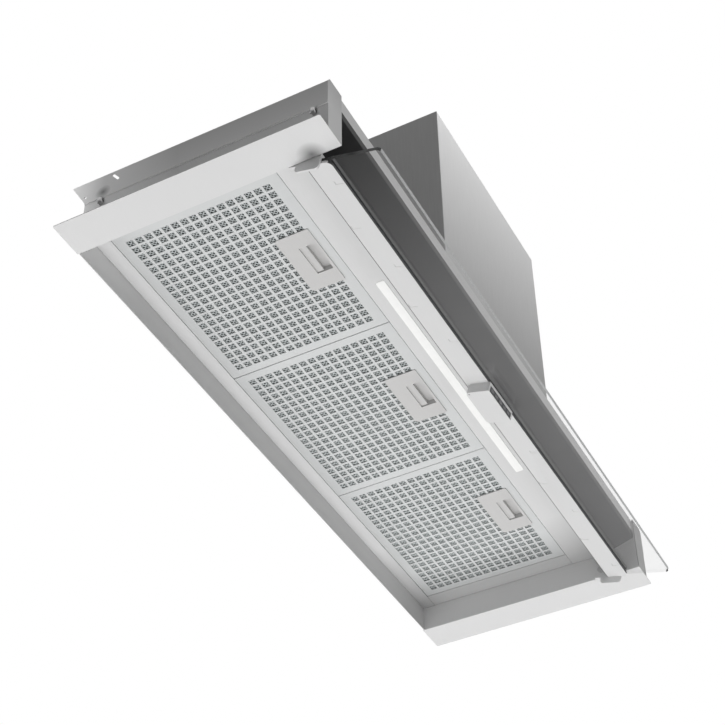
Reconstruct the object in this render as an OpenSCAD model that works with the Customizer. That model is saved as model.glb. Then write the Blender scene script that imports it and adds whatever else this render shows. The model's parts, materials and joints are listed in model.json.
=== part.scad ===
/* [Canopy] */
// Overall width across the two side flanges
body_w = 898; // [878:1:998]
// Depth of the side flanges, front to back
body_d = 311; // [309:1:325]
// Width of each side flange
flange_w = 44.7; // [43:0.1:50]
// Height of the ceiling above the underside of the flanges
recess_h = 34; // [33:0.5:36]
// Height of the canopy top above the underside of the flanges
deck_h = 75; // [72:0.5:85]
// Thickness of the canopy sheet
sheet_t = 1; // [0.9:0.05:1.1]
// Radius of the outer corners of the flanges
flange_corner_r = 2; // [1:0.5:10]
// Distance from the rear end of the flanges to the inside of the rear wall
rear_set = 2.4; // [2:0.1:4]
// Width of the turned-in lips at the top of the walls
lip_w = 12; // [8:1:16]

/* [Front] */
// Distance from the front of the flanges to the front rail
rail_set = 2.4; // [2:0.1:4]
// Height of the visible face of the front rail
rail_h = 18; // [14:0.5:22]
// Depth of the top return of the front rail
rail_top_d = 15; // [10:0.5:20]
// Depth of the bottom return of the front rail
rail_low_d = 6; // [4:0.5:8]
// Height of the baffle's front lip below the rail
baffle_lip_h = 10; // [6:0.5:12]
// Depth at which the sloping baffle meets the ceiling
slot_d = 45; // [40:1:50]

/* [Filters] */
// Width of the filler strip on each side of the filters
filler_w = 24; // [20:0.5:30]
// Gap between two filters and beside them
filter_gap = 0.9; // [0.6:0.1:1.5]
// Distance from the front of the flanges to the filters
filter_front = 89.4; // [89:0.1:91]
// Depth of the ledge behind the filters
ledge_d = 17.4; // [15:0.1:20]
// Gap in front of and behind the filters
filter_end_gap = 0.5; // [0.4:0.05:0.8]
// Height of a filter cassette
filter_h = 9; // [8.5:0.1:9.5]
// Thickness of the perforated face
face_t = 1.2; // [1:0.1:1.4]
// Side of a square hole in the face
hole_w = 8; // [7:0.1:8.6]
// Spacing of the square holes
hole_pitch = 11.15; // [10.5:0.05:12]
// Distance from the front edge to the first row of holes
hole_front = 18; // [17:0.1:19]
// Smallest distance from the other edges to the first holes
hole_edge = 12; // [11:0.5:14]
// Thickness of the grease mesh
mesh_t = 1; // [0.8:0.1:1.2]
// Width of a strand band in the grease mesh
strand_w = 1.65; // [1.2:0.05:2.2]

/* [Latches] */
// Width of a latch plate
latch_w = 85; // [80:0.5:90]
// Depth of a latch plate
latch_d = 40.4; // [39:0.1:43]
// Distance from the front edge of the filter to the latch plate
latch_set = 10.1; // [9.5:0.1:11]
// Thickness of a latch plate
latch_t = 1.2; // [1:0.1:1.4]
// Radius of the rear corners of a latch plate
latch_r = 4; // [2:0.5:8]
// Width of the finger recess
grip_w = 42; // [38:0.5:44]
// Depth of the finger recess, front to back
grip_d = 19.1; // [17:0.1:21]
// Depth of the part of the recess that the finger enters
grip_hole_d = 11; // [9:0.5:12]
// Travel of the latch slider
latch_travel = 5; // [4.5:0.1:5.5]
// How far the tongue reaches over the front panel
tongue_reach = 1.5; // [1.2:0.1:1.8]

/* [Light] */
// Length of the light strip
light_l = 377; // [300:1:420]
// Width of the light strip
light_w = 10.5; // [9:0.5:12]
// Distance from the front of the flanges to the light strip
light_front = 64.4; // [62:0.1:66]
// Number of light emitting diodes
led_count = 30; // [10:2:40]

/* [Visor] */
// Tilt of the open visor below level, in degrees
visor_tilt = 15.2; // [5:0.1:15.6]
// Depth of the pivot from the front of the flanges
pivot_y = 50; // [48:0.5:52]
// Height of the pivot above the underside of the flanges
pivot_z = 10; // [9:0.5:11]
// Radius of the pivot pins
pivot_r = 3; // [2.5:0.1:3.5]
// Depth of the glass pane, front to back
glass_d = 84.9; // [70:0.1:90]
// Thickness of the glass pane
glass_t = 4; // [3.5:0.1:4.5]
// Radius of the front corners of the glass pane
glass_r = 5; // [2:0.5:10]
// Depth of the profile under the glass
profile_d = 28.7; // [26:0.1:30]
// Thickness of the profile under the glass
profile_t = 2.9; // [2.5:0.1:3.2]
// Radius of the front corners of the profile
profile_r = 7; // [3:0.5:10]

/* [Handle] */
// Width of the handle
handle_w = 60; // [56:0.5:70]
// Depth of the handle, front to back
handle_d = 29.6; // [28:0.1:30]
// Height of the handle below the profile
handle_h = 12; // [11.5:0.1:13]
// Number of push buttons
button_n = 5; // [5]
// Width of a push button
button_w = 7.4; // [6:0.1:8]
// Height of a push button
button_h = 4.6; // [4:0.1:5]
// Travel of a push button
button_travel = 0.8; // [0.5:0.05:0.8]

/* [Side brackets] */
// Distance from the side wall to the outside of a bracket
bracket_w = 27.7; // [26:0.1:29]
// Height of the outer wall of a bracket
bracket_wall_h = 69.3; // [66:0.1:70]
// Length of the outer wall at its foot
bracket_low_l = 287.2; // [284:0.1:289]
// Length of the tail of the outer wall past its foot
bracket_tail_l = 18.2; // [16:0.1:19]
// Height of the fold in the outer wall
fold_z = 36; // [35:0.5:37]
// Depth of the front fixing screws
fix_front = 15; // [13:0.5:17]
// Distance from the rear fixing screw to the end of the foot
fix_rear = 22.2; // [20:0.1:26]
// Height of the fixing screws
fix_z = 30.5; // [29:0.5:32]
// Radius of the fixing holes
fix_r = 2.3; // [2.2:0.05:2.5]

/* [Blower housing] */
// Width of the blower housing
box_w = 288; // [284:1:300]
// Depth of the blower housing
box_d = 275; // [272:1:285]
// Distance from the front of the flanges to the blower housing
box_front = 9; // [8:0.5:12]
// Height of the blower housing above the canopy
box_h = 258.5; // [256:0.5:275]

/* [Blower] */
// Outer radius of the impeller
fan_r = 70; // [66:0.5:71]
// Inner radius of the blade ring
blade_in_r = 58; // [56:0.5:59]
// Half width of the impeller
fan_half = 60; // [56:1:61]
// Number of blades
blade_n = 36; // [24:2:40]
// Thickness of a blade
blade_t = 1; // [0.9:0.1:1.4]
// Angle a blade sweeps from its inner to its outer edge
blade_sweep = 9; // [6:1:14]
// Radius of the motor
motor_r = 38; // [34:1:42]
// Radius of the motor shaft
shaft_r = 4; // [3:0.5:5]

/* [Duct collar] */
// Outer radius of the duct collar
collar_r = 60; // [58:0.5:60]
// Height of the duct collar
collar_h = 40; // [38:1:50]
// Wall of the duct collar
collar_t = 1.5; // [1.2:0.1:2]

/* [Hidden] */
$fn = 64;

// Small amount by which a cutting shape runs past the surface it cuts
over = 0.5;
// Gap between two seated pieces that only rest near each other
seat_gap = 0.3;
// Radial running clearance of a pin or a shaft
run_gap = 0.06;

// Canopy box
half_w = body_w / 2;
tray_half = half_w - flange_w;
tray_out = tray_half + sheet_t;
rear_in = body_d - rear_set;
rear_out = rear_in + sheet_t;
wall_top = deck_h - sheet_t;
rail_back = rail_set + sheet_t;
ceil_top = recess_h + sheet_t;
screw_r = 1.6;
screw_head_r = 3.4;
screw_head_h = 2;
screw_end = 3;
cover_screw_shares = [0.12, 0.5, 0.88];

// Filter bay
bay_half = tray_half - filler_w;
filter_w = (2 * bay_half - 4 * filter_gap) / 3;
filter_pitch = filter_w + filter_gap;
ledge_front = rear_in - ledge_d;
filter_rear = ledge_front - filter_end_gap;
filter_d = filter_rear - filter_front;
panel_rear = filter_front - filter_end_gap;
filter_top = recess_h + filter_h;
frame_t = 1;
frame_lip_w = 6;
hole_cols = floor((filter_w - 2 * hole_edge) / hole_pitch) + 1;
hole_rows = floor((filter_d - hole_front - hole_edge) / hole_pitch) + 1;
tab_x = 80;
tab_w = 20;
tab_d = 6;
tab_t = 1.2;
filler_lip_h = 9;
ledge_lip_h = 10;
cross_w = 18;
cross_t = 1.2;
cross_foot_d = 6;
cross_front = filter_front - cross_foot_d - 2 * filter_end_gap;

// Latches
latch_front = filter_front + latch_set;
latch_rear = latch_front + latch_d;
latch_cut = 1.5;
grip_set_share = 0.155;
grip_front = latch_front + (latch_d - grip_d) * grip_set_share;
grip_step = grip_front + grip_hole_d;
grip_rear = grip_front + grip_d;
cup_t = 1;
cup_in_h = 5.5;
cup_room = 8;
cup_half = grip_w / 2 + cup_t;
cup_front = grip_front - cup_t;
cup_rear = grip_rear + cup_room;
cup_top = recess_h + cup_in_h + cup_t;
slider_z = recess_h + face_t + seat_gap / 3;
slider_t = 2;
slider_half = 29.5;
slider_arm_w = 6.5;
slider_bar_h = 4.2;
slider_bar_d = 10;
slider_play = 0.6;
tongue_rear = cup_front - latch_travel - slider_play;
tongue_tip = panel_rear - tongue_reach;
tongue_nose = 0.4;
tongue_ramp_h = 2.6;
tongue_lead_h = 1.6;
slider_room = 0.3;
tongue_top = slider_z + tongue_ramp_h + tongue_nose + tongue_lead_h;

// Light
light_r = 2;
light_lens_h = 0.4;
light_flange = 3.4;
light_flange_t = 1.5;
channel_wall = 1.2;
channel_h = 12;
channel_side = 2;
led_w = 3;
led_h = 1;
board_t = 1.2;
board_inset = 3;

// Visor, drawn level and then tilted about its pivot
profile_low = -1.6;
glass_low = profile_low + profile_t;
glass_top = glass_low + glass_t;
glass_rear = 40.3;
glass_front = glass_rear - glass_d;
profile_rear = 39.7;
profile_front = profile_rear - profile_d;
pane_set = 3.5;
pane_half = tray_half - pane_set;
cap_gap = 0.3;
cap_in = pane_half + cap_gap;
cap_t = 2.7;
cap_out = cap_in + cap_t;
cap_front = 21.3;
cap_rear = 48.8;
cap_low = -10;
cap_corner_r = 4;
cap_arm_r = 7.5;
cap_arm_low = -2;
spigot_l = 5;
bar_t = 4;
bar_set = 1.2;
bar_front = profile_front + bar_set;
bar_half = pane_half - spigot_l + cap_gap;
mark_l = 10;
mark_w = 5;
mark_t = 0.3;
mark_first_share = 0.27445;
mark_pitch_share = 0.3261;
mark_first = pane_half * mark_first_share;
mark_pitch = pane_half * mark_pitch_share;
mark_n = 3;
mark_front = 5.5;
mark_rear = 22;
clamp_shares = [0.15, 0.4, 0.65, 0.9];
clamp_hole_r = 3;
clamp_y = (bar_front + profile_rear) / 2;
bush_r = 5;
bush_l = 3.7;
bush_flange_r = 7.5;
bush_flange_t = 1.5;
pin_head_r = 5;
pin_head_t = 1.8;
pin_end = 0.5;

// Handle
handle_front = 8.3;
handle_rear = handle_front + handle_d;
handle_low = profile_low - handle_h;
handle_t = 1.8;
handle_r = 5;
fascia_h = 8;
fascia_edge = 0.8;
fascia_low = handle_low + fascia_edge;
fascia_side = 2.5;
fascia_w = handle_w - 2 * fascia_side;
fascia_inset = 0.4;
fascia_t = 1.6;
fascia_flange = 0.6;
fascia_flange_t = 1.2;
button_gap = 0.25;
button_pitch = 10.6;
button_z = fascia_low + fascia_h / 2;
button_flange = 0.7;
button_flange_t = 0.8;
button_set = 0.05;
button_y = handle_front + button_set;
key_gap = 0.1;
button_back = handle_front + fascia_inset + fascia_t + fascia_flange_t + key_gap;
key_t = 1.6;
handle_board_t = 1.2;
board_y = button_back + button_flange_t + button_travel + key_gap + key_t;
sensor_r = 0.9;
sensor_in = 3.4;

// Side brackets
bracket_out = tray_half + bracket_w + sheet_t;
bracket_top_l = bracket_low_l + bracket_tail_l;
fix_pitch = bracket_low_l - fix_front - fix_rear;
bracket_h = 75.4;
joggle = 1;
bracket_cut_w = 4;
bracket_cut_h = bracket_h - bracket_wall_h;
foot_w = 15;
tail_z = 38;
slot_set = 36.7;
slot_y = bracket_low_l - slot_set;
slot_z = 60.2;
slot_l = 11;
slot_w = 3;
slot_turn = 53;
notch_r = 1.6;
notch_set = 0.2;
notch_y = bracket_low_l - notch_set;
notch_z = 46.4;
fix_screw_r = 2;
fix_neck_r = 1.8;
fix_neck_l = 1.5;
fix_head_r = 3.6;
fix_head_h = 2.2;
fix_tip_l = 4;

// Blower housing
box_half = box_w / 2;
box_rear = box_front + box_d;
box_top = deck_h + box_h;
box_lip_w = 12;
box_under = box_top - sheet_t;
deck_hole_half = box_half - box_lip_w - 4 * sheet_t;

// Blower, turning about a level axis that runs from side to side
fan_set = 103;
fan_h = 123;
fan_y = box_front + fan_set;
fan_z = deck_h + fan_h;
scroll_t = 2;
scroll_gap = 8;
scroll_grow = 44;
scroll_start = 60;
tongue_angle = 8;
scroll_steps = 30;
scroll_side = 4;
scroll_half = fan_half + scroll_side;
scroll_out = scroll_half + scroll_t;
outlet_set = 42;
outlet_d = 118;
outlet_front = fan_y + outlet_set;
outlet_rear = outlet_front + outlet_d;
outlet_flange = 8;
inlet_r = 60;
inlet_lip_r = 57;
inlet_ring_r = 66;
inlet_ring_t = 4;
disc_t = 2;
disc_in = 1.5;
ring_in_r = 65;
ring_t = 2;
hub_r = 12;
hub_l = 12;
blade_steps = 5;
motor_in = 12;
motor_end_r = 30;
arm_w = 14;
arm_t = 3;
arm_foot = 10;
arm_n = 3;
motor_out = scroll_out + inlet_ring_t;

// Duct collar
collar_y = (outlet_front + outlet_rear) / 2;
collar_low = box_top;
collar_flange_r = 70;
collar_flange_t = 1.5;
collar_in = collar_r - collar_t;
stop_w = 2;
stop_t = 1.5;
flap_set = 15;
flap_z = collar_low + flap_set;
flap_t = 1.2;
flap_gap = 1;
flap_off = 3.2;
flap_pin_r = 1.5;
flap_pin_in = 0.4;

// Power module
module_set = 21;
module_x = box_half + module_set;
module_w = 140;
module_y = 60;
module_d = 130;
module_h = 43;
module_t = 2;
gland_x = module_x + module_w / 2;
gland_set = 22;
gland_z = deck_h + gland_set;
gland_r = 9;
gland_l = 14;
gland_bore = 4.5;
gland_nut_r = 12;
gland_nut_l = 6;

// Block between the given limits along each axis
module block(x, y, z)
  translate([x[0], y[0], z[0]])
  cube([x[1] - x[0], y[1] - y[0], z[1] - z[0]]);

// The children and their mirror image on the other side
module both() {
  children();
  mirror([1, 0, 0]) children();
}

// Outline in the side view, run along the width between the given limits
module run_x(x)
  translate([x[0], 0, 0])
  rotate([90, 0, 90])
  linear_extrude(x[1] - x[0])
  children();

// Rod along the width
module rod_x(x, y, z, r)
  translate([x[0], y, z])
  rotate([0, 90, 0])
  cylinder(r = r, h = x[1] - x[0]);

// Rectangle with its own radius at each corner, from the first corner round
module rounded(x, y, r) {
  corner = [[x[0], y[0], 1, 1], [x[1], y[0], -1, 1], [x[1], y[1], -1, -1], [x[0], y[1], 1, -1]];
  difference() {
    translate([x[0], y[0]])
    square([x[1] - x[0], y[1] - y[0]]);
    for (i = [0:3]) if (r[i] > 0) {
      c = corner[i];
      difference() {
        translate([c[0] - (c[2] > 0 ? over : r[i]), c[1] - (c[3] > 0 ? over : r[i])])
        square(r[i] + over);
        translate([c[0] + c[2] * r[i], c[1] + c[3] * r[i]])
        circle(r[i]);
      }
    }
  }
}

// Plan outline raised between the given heights
module plate(z)
  translate([0, 0, z[0]])
  linear_extrude(z[1] - z[0])
  children();

// Places of the screws that hold the canopy cover
function cover_screw_spots() = concat(
  [for (s = cover_screw_shares) [tray_half - lip_w / 2, s * rear_in]],
  [for (s = cover_screw_shares) [-(tray_half - lip_w / 2), s * rear_in]],
  [for (s = cover_screw_shares) [(2 * s - 1) * bay_half, rear_in - lip_w / 2]]
);

// Flanges, side walls and rear wall of the canopy, folded from one sheet
module canopy_tray() {
  color("silver")
  difference() {
    union() {
      both() {
        plate([0, sheet_t])
        rounded([tray_half, half_w], [0, body_d], [0, flange_corner_r, flange_corner_r, 0]);
        block([tray_half, tray_out], [sheet_t, rear_out], [0, wall_top]);
        block([tray_half - lip_w, tray_half], [rail_top_d + 2 * rail_back, rear_in], [wall_top - sheet_t, wall_top]);
      }
      block([-tray_out, tray_out], [rear_in, rear_out], [0, wall_top]);
      block([-tray_half, tray_half], [rear_in - lip_w, rear_in], [wall_top - sheet_t, wall_top]);
    }
    both() rod_x([tray_half - over, tray_out + over], pivot_y, pivot_z, bush_r);
    for (p = cover_screw_spots())
      translate([p[0], p[1], wall_top - sheet_t - over])
      cylinder(r = screw_r, h = sheet_t + 2 * over);
  }
}

// Level front part of the ceiling with the slot for the light
module front_panel() {
  color("gainsboro")
  plate([recess_h, ceil_top])
  difference() {
    translate([-tray_half, slot_d])
    square([2 * tray_half, panel_rear - slot_d]);
    rounded([-light_l / 2 - seat_gap, light_l / 2 + seat_gap],
      [light_front - seat_gap, light_front + light_w + seat_gap],
      [light_r, light_r, light_r, light_r]);
  }
}

// Ledge behind the filters, with a lip against the rear wall
module rear_ledge() {
  color("gainsboro") {
    block([-tray_half, tray_half], [ledge_front, rear_in], [recess_h, ceil_top]);
    block([-tray_half, tray_half], [rear_in - sheet_t, rear_in], [ceil_top, ceil_top + ledge_lip_h]);
  }
}

// Channel strip between the filters and a side wall, drawn on the right
module filler() {
  long = [panel_rear + seat_gap, ledge_front - seat_gap];
  block([bay_half, tray_half], long, [recess_h, ceil_top]);
  block([bay_half, bay_half + sheet_t], long, [ceil_top, ceil_top + filler_lip_h]);
  block([tray_half - sheet_t, tray_half], long, [ceil_top, ceil_top + ledge_lip_h]);
}

module filler_left() { color("darkgray") mirror([1, 0, 0]) filler(); }

module filler_right() { color("darkgray") filler(); }

// Bridge over the joint of two filters
module filter_rail(side) {
  mid = side * filter_pitch / 2;
  wide = [mid - cross_w / 2, mid + cross_w / 2];
  top = filter_top + sheet_t;
  block(wide, [cross_front, rear_in - sheet_t], [top, top + cross_t]);
  block(wide, [cross_front, cross_front + cross_t], [ceil_top, top]);
  block(wide, [cross_front, cross_front + cross_foot_d], [ceil_top, ceil_top + cross_t]);
  block(wide, [rear_in - sheet_t - cross_t, rear_in - sheet_t], [ceil_top, top]);
}

module filter_rail_left() { color("darkgray") filter_rail(-1); }

module filter_rail_right() { color("darkgray") filter_rail(1); }

// Top sheet of the canopy with the opening under the blower housing
module plenum_cover() {
  color("lightgray")
  difference() {
    block([-tray_out, tray_out], [rail_back, rear_out], [wall_top, deck_h]);
    block([-deck_hole_half, deck_hole_half],
      [box_front + box_half - deck_hole_half, box_rear - box_half + deck_hole_half],
      [wall_top - over, deck_h + over]);
    for (p = cover_screw_spots())
      translate([p[0], p[1], wall_top - over])
      cylinder(r = screw_r, h = sheet_t + 2 * over);
  }
}

module cover_screws() {
  color("gray")
  for (p = cover_screw_spots())
    translate([p[0], p[1], 0]) {
      translate([0, 0, wall_top - screw_end])
      cylinder(r = screw_r, h = screw_end + sheet_t);
      translate([0, 0, deck_h])
      cylinder(r = screw_head_r, h = screw_head_h);
    }
}

// Folded rail across the front, under the edge of the cover
module front_rail() {
  color("darkgray") {
    block([-tray_half, tray_half], [rail_set, rail_back], [deck_h - rail_h, deck_h]);
    block([-tray_half, tray_half], [rail_back, rail_back + rail_top_d], [wall_top - sheet_t, wall_top]);
    block([-tray_half, tray_half], [rail_back, rail_back + rail_low_d],
      [deck_h - rail_h, deck_h - rail_h + sheet_t]);
  }
}

// Black baffle that slopes from the rail down to the ceiling
module slot_baffle() {
  top = deck_h - rail_h;
  low = top - baffle_lip_h;
  color([0.12, 0.12, 0.13])
  run_x([-tray_half, tray_half])
  polygon([
    [rail_set, top], [rail_back, top], [rail_back, low + sheet_t],
    [slot_d, ceil_top], [slot_d, recess_h], [rail_set, low]
  ]);
}

// Open side channel with its front plate, drawn on the right
module side_bracket() {
  difference() {
    union() {
      // front plate with a cut outer corner
      translate([0, sheet_t, 0])
      rotate([90, 0, 0])
      linear_extrude(sheet_t)
      polygon([
        [tray_half, sheet_t], [bracket_out - joggle, sheet_t], [bracket_out - joggle, fold_z],
        [bracket_out, fold_z + joggle], [bracket_out, bracket_wall_h],
        [bracket_out - bracket_cut_w, bracket_h], [tray_half, bracket_h]
      ]);
      // upper part of the outer wall, standing out by the joggle
      run_x([bracket_out - sheet_t, bracket_out])
      polygon([
        [sheet_t, fold_z], [bracket_low_l, fold_z], [bracket_low_l, tail_z],
        [bracket_top_l, bracket_wall_h], [sheet_t, bracket_wall_h]
      ]);
      // lower part of the outer wall and its foot
      block([bracket_out - joggle - sheet_t, bracket_out - joggle], [sheet_t, bracket_low_l],
        [sheet_t, fold_z + sheet_t]);
      block([bracket_out - joggle - foot_w, bracket_out - joggle], [sheet_t, bracket_low_l],
        [sheet_t, 2 * sheet_t]);
    }
    for (y = [fix_front, fix_front + fix_pitch])
      rod_x([bracket_out - joggle - sheet_t - over, bracket_out - joggle + over], y, fix_z, fix_r);
    // slanting slot near the rear
    translate([0, slot_y, slot_z])
    rotate([slot_turn, 0, 0]) {
      block([bracket_out - sheet_t - over, bracket_out + over], [-slot_l / 2, slot_l / 2],
        [-slot_w / 2, slot_w / 2]);
      for (s = [-1, 1])
        rod_x([bracket_out - sheet_t - over, bracket_out + over], s * slot_l / 2, 0, slot_w / 2);
    }
    rod_x([bracket_out - sheet_t - over, bracket_out + over], notch_y, notch_z, notch_r);
  }
}

module side_bracket_left() { color("darkgray") mirror([1, 0, 0]) side_bracket(); }

module side_bracket_right() { color("darkgray") side_bracket(); }

// Screws that hold the brackets to the cabinet sides
module fixing_screws() {
  face = bracket_out - joggle;
  color("gray")
  both()
  for (y = [fix_front, fix_front + fix_pitch]) {
    rod_x([face - sheet_t, face - sheet_t + fix_neck_l], y, fix_z, fix_neck_r);
    rod_x([face - sheet_t + fix_neck_l, face + fix_tip_l], y, fix_z, fix_screw_r);
    rod_x([face - sheet_t - fix_head_h, face - sheet_t], y, fix_z, fix_head_r);
  }
}

// Milky strip that fills the slot, with a flange that rests on the panel
module led_diffuser() {
  color("white") {
    plate([recess_h - light_lens_h, ceil_top])
    rounded([-light_l / 2, light_l / 2], [light_front, light_front + light_w],
      [light_r, light_r, light_r, light_r]);
    block([-light_l / 2 - light_flange, light_l / 2 + light_flange],
      [light_front - light_flange, light_front + light_w + light_flange],
      [ceil_top, ceil_top + light_flange_t]);
  }
}

channel_front = light_front - light_flange - channel_side;
channel_rear = light_front + light_w + light_flange + channel_side;
channel_half = light_l / 2 + light_flange + channel_side;
channel_top = ceil_top + channel_h;

module led_channel() {
  color("lightgray")
  difference() {
    block([-channel_half, channel_half], [channel_front, channel_rear], [ceil_top, channel_top]);
    block([-channel_half + channel_wall, channel_half - channel_wall],
      [channel_front + channel_wall, channel_rear - channel_wall],
      [ceil_top - over, channel_top - channel_wall]);
  }
}

module led_board() {
  board_z = channel_top - channel_wall - board_t;
  step = (light_l - 2 * board_inset) / led_count;
  color("seagreen")
  block([-light_l / 2, light_l / 2],
    [channel_front + channel_wall + channel_side, channel_rear - channel_wall - channel_side],
    [board_z, board_z + board_t]);
  color("lightyellow")
  for (i = [0:led_count - 1])
    translate([-light_l / 2 + board_inset + (i + 0.5) * step, light_front + light_w / 2, board_z - led_h / 2])
    cube([led_w, led_w, led_h], center = true);
}

// Four walls of the blower housing with turned-in feet
module housing_wrap() {
  color("silver")
  difference() {
    block([-box_half, box_half], [box_front, box_rear], [deck_h, box_under]);
    block([-box_half + sheet_t, box_half - sheet_t], [box_front + sheet_t, box_rear - sheet_t],
      [deck_h + sheet_t, box_under + over]);
    block([-box_half + box_lip_w, box_half - box_lip_w],
      [box_front + box_lip_w, box_rear - box_lip_w], [deck_h - over, deck_h + 2 * sheet_t]);
    for (p = box_foot_spots())
      translate([p[0], p[1], deck_h - over])
      cylinder(r = screw_r, h = sheet_t + 2 * over);
  }
}

function box_foot_spots() = [
  for (s = [-1, 1], y = [box_front + 2 * box_lip_w, box_rear - 2 * box_lip_w])
    [s * (box_half - box_lip_w / 2), y]
];

function box_top_spots() = [
  for (s = [-1, 1], y = [box_front + box_lip_w / 2, box_rear - box_lip_w / 2])
    [s * (box_half - box_lip_w / 2), y]
];

// Lid of the blower housing with the outlet and turned-down edges
module housing_top() {
  color("silver")
  difference() {
    union() {
      block([-box_half, box_half], [box_front, box_rear], [box_under, box_top]);
      both()
      block([box_half - 2 * sheet_t, box_half - sheet_t],
        [box_front + 2 * box_lip_w, box_rear - 2 * box_lip_w], [box_under - box_lip_w, box_under]);
    }
    translate([0, collar_y, box_under - over])
    cylinder(r = collar_in, h = sheet_t + 2 * over);
    for (p = box_top_spots())
      translate([p[0], p[1], box_under - over])
      cylinder(r = screw_r, h = sheet_t + 2 * over);
  }
}

module housing_screws() {
  color("gray") {
    for (p = box_top_spots())
      translate([p[0], p[1], box_under]) {
        cylinder(r = screw_r, h = sheet_t);
        translate([0, 0, sheet_t])
        cylinder(r = screw_head_r, h = screw_head_h);
      }
    for (p = box_foot_spots())
      translate([p[0], p[1], deck_h]) {
        cylinder(r = screw_r, h = sheet_t);
        translate([0, 0, sheet_t])
        cylinder(r = screw_head_r, h = screw_head_h);
      }
  }
}

// Radius of the scroll's inside at a turn share between 0 and 1
function scroll_radius(s) = fan_r + scroll_gap + scroll_grow * s;

// Side outline of the scroll, grown outwards by the given wall
function scroll_points(wall, top) = concat(
  [for (i = [0:scroll_steps])
    let (s = i / scroll_steps,
      a = scroll_start + (wall > 0 ? tongue_angle : 0) * (1 - s) + (360 - scroll_start) * s,
      r = scroll_radius(s) + wall)
    [fan_y + r * cos(a), fan_z + r * sin(a)]],
  [[outlet_rear + wall, top], [outlet_front - wall, top]]
);

// Snail-shaped casing, open on both sides and at the top
module blower_scroll() {
  color("dimgray")
  difference() {
    union() {
      run_x([-scroll_out, scroll_out]) polygon(scroll_points(scroll_t, box_under));
      block([-scroll_out - outlet_flange, scroll_out + outlet_flange],
        [outlet_front - outlet_flange, outlet_rear + outlet_flange],
        [box_under - scroll_t, box_under]);
    }
    run_x([-scroll_half, scroll_half]) polygon(scroll_points(0, box_under + over));
    rod_x([-scroll_out - over, scroll_out + over], fan_y, fan_z, inlet_r);
  }
}

// Flared rings around the two side inlets
module inlet_rings() {
  color("dimgray")
  both()
  translate([scroll_out, fan_y, fan_z])
  rotate([0, 90, 0])
  rotate_extrude()
  difference() {
    translate([inlet_lip_r, 0])
    square([inlet_ring_r - inlet_lip_r, inlet_ring_t]);
    translate([inlet_lip_r, inlet_ring_t])
    circle(inlet_ring_t - sheet_t);
  }
}

// Side outline of one curved blade
function blade_points() = concat(
  [for (i = [0:blade_steps])
    let (s = i / blade_steps, r = blade_in_r + (fan_r - blade_in_r) * s, a = blade_sweep * s * s)
    [r * cos(a), r * sin(a)]],
  [for (i = [blade_steps:-1:0])
    let (s = i / blade_steps, r = blade_in_r + (fan_r - blade_in_r) * s, a = blade_sweep * s * s)
    [r * cos(a) - blade_t * sin(a), r * sin(a) + blade_t * cos(a)]]
);

// Double-sided wheel with forward-curved blades, a centre disc and end rings
module impeller() {
  color("lightslategray")
  translate([0, fan_y, fan_z])
  difference() {
    union() {
      rod_x([-disc_t / 2, disc_t / 2], 0, 0, fan_r - disc_in);
      rod_x([-disc_t / 2 - hub_l / 2, hub_l], 0, 0, hub_r);
      for (k = [0:blade_n - 1])
        rotate([k * 360 / blade_n, 0, 0])
        run_x([ring_t / 2 - fan_half, fan_half - ring_t / 2]) polygon(blade_points());
      both()
      difference() {
        rod_x([fan_half - ring_t, fan_half], 0, 0, fan_r + blade_t);
        rod_x([fan_half - ring_t - over, fan_half + over], 0, 0, ring_in_r);
      }
    }
    rod_x([-fan_half, fan_half], 0, 0, shaft_r);
  }
}

module rotor_shaft() {
  color("silver")
  rod_x([-motor_out + arm_t, hub_l], fan_y, fan_z, shaft_r);
}

// Motor inside the wheel, with a neck through the left inlet
module motor_body() {
  color("dimgray")
  translate([0, fan_y, fan_z])
  difference() {
    union() {
      rod_x([-fan_half + over, -motor_in], 0, 0, motor_r);
      rod_x([-motor_out, -fan_half + over], 0, 0, motor_end_r);
    }
    rod_x([-motor_out + arm_t, 0], 0, 0, shaft_r + run_gap);
  }
}

// Three arms that carry the motor across the left inlet
module motor_bracket() {
  color("gray")
  translate([0, fan_y, fan_z]) {
    rod_x([-motor_out - arm_t, -motor_out], 0, 0, motor_end_r);
    for (k = [0:arm_n - 1])
      rotate([90 + k * 360 / arm_n, 0, 0]) {
        block([-motor_out - arm_t, -motor_out], [motor_end_r - arm_t, inlet_ring_r + arm_foot],
          [-arm_w / 2, arm_w / 2]);
        block([-motor_out - arm_t, -scroll_out], [inlet_ring_r + run_gap, inlet_ring_r + arm_t],
          [-arm_w / 2, arm_w / 2]);
        block([-scroll_out - arm_t, -scroll_out], [inlet_ring_r + run_gap, inlet_ring_r + arm_foot],
          [-arm_w / 2, arm_w / 2]);
      }
  }
}

// Spigot for the duct, with a flange and a stop for the flaps
module duct_collar() {
  color([0.2, 0.2, 0.21])
  translate([0, collar_y, 0])
  difference() {
    union() {
      difference() {
        union() {
          translate([0, 0, collar_low]) cylinder(r = collar_r, h = collar_h);
          translate([0, 0, collar_low]) cylinder(r = collar_flange_r, h = collar_flange_t);
        }
        translate([0, 0, collar_low - over]) cylinder(r = collar_in, h = collar_h + 2 * over);
      }
      translate([0, 0, flap_z - flap_t / 2 - seat_gap - stop_t])
      difference() {
        cylinder(r = collar_in + collar_t / 2, h = stop_t);
        translate([0, 0, -over]) cylinder(r = collar_in - stop_w, h = stop_t + 2 * over);
      }
    }
    for (s = [-1, 1])
      rod_x([-collar_r - over, collar_r + over], s * flap_off, flap_z, flap_pin_r + run_gap);
  }
}

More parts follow.
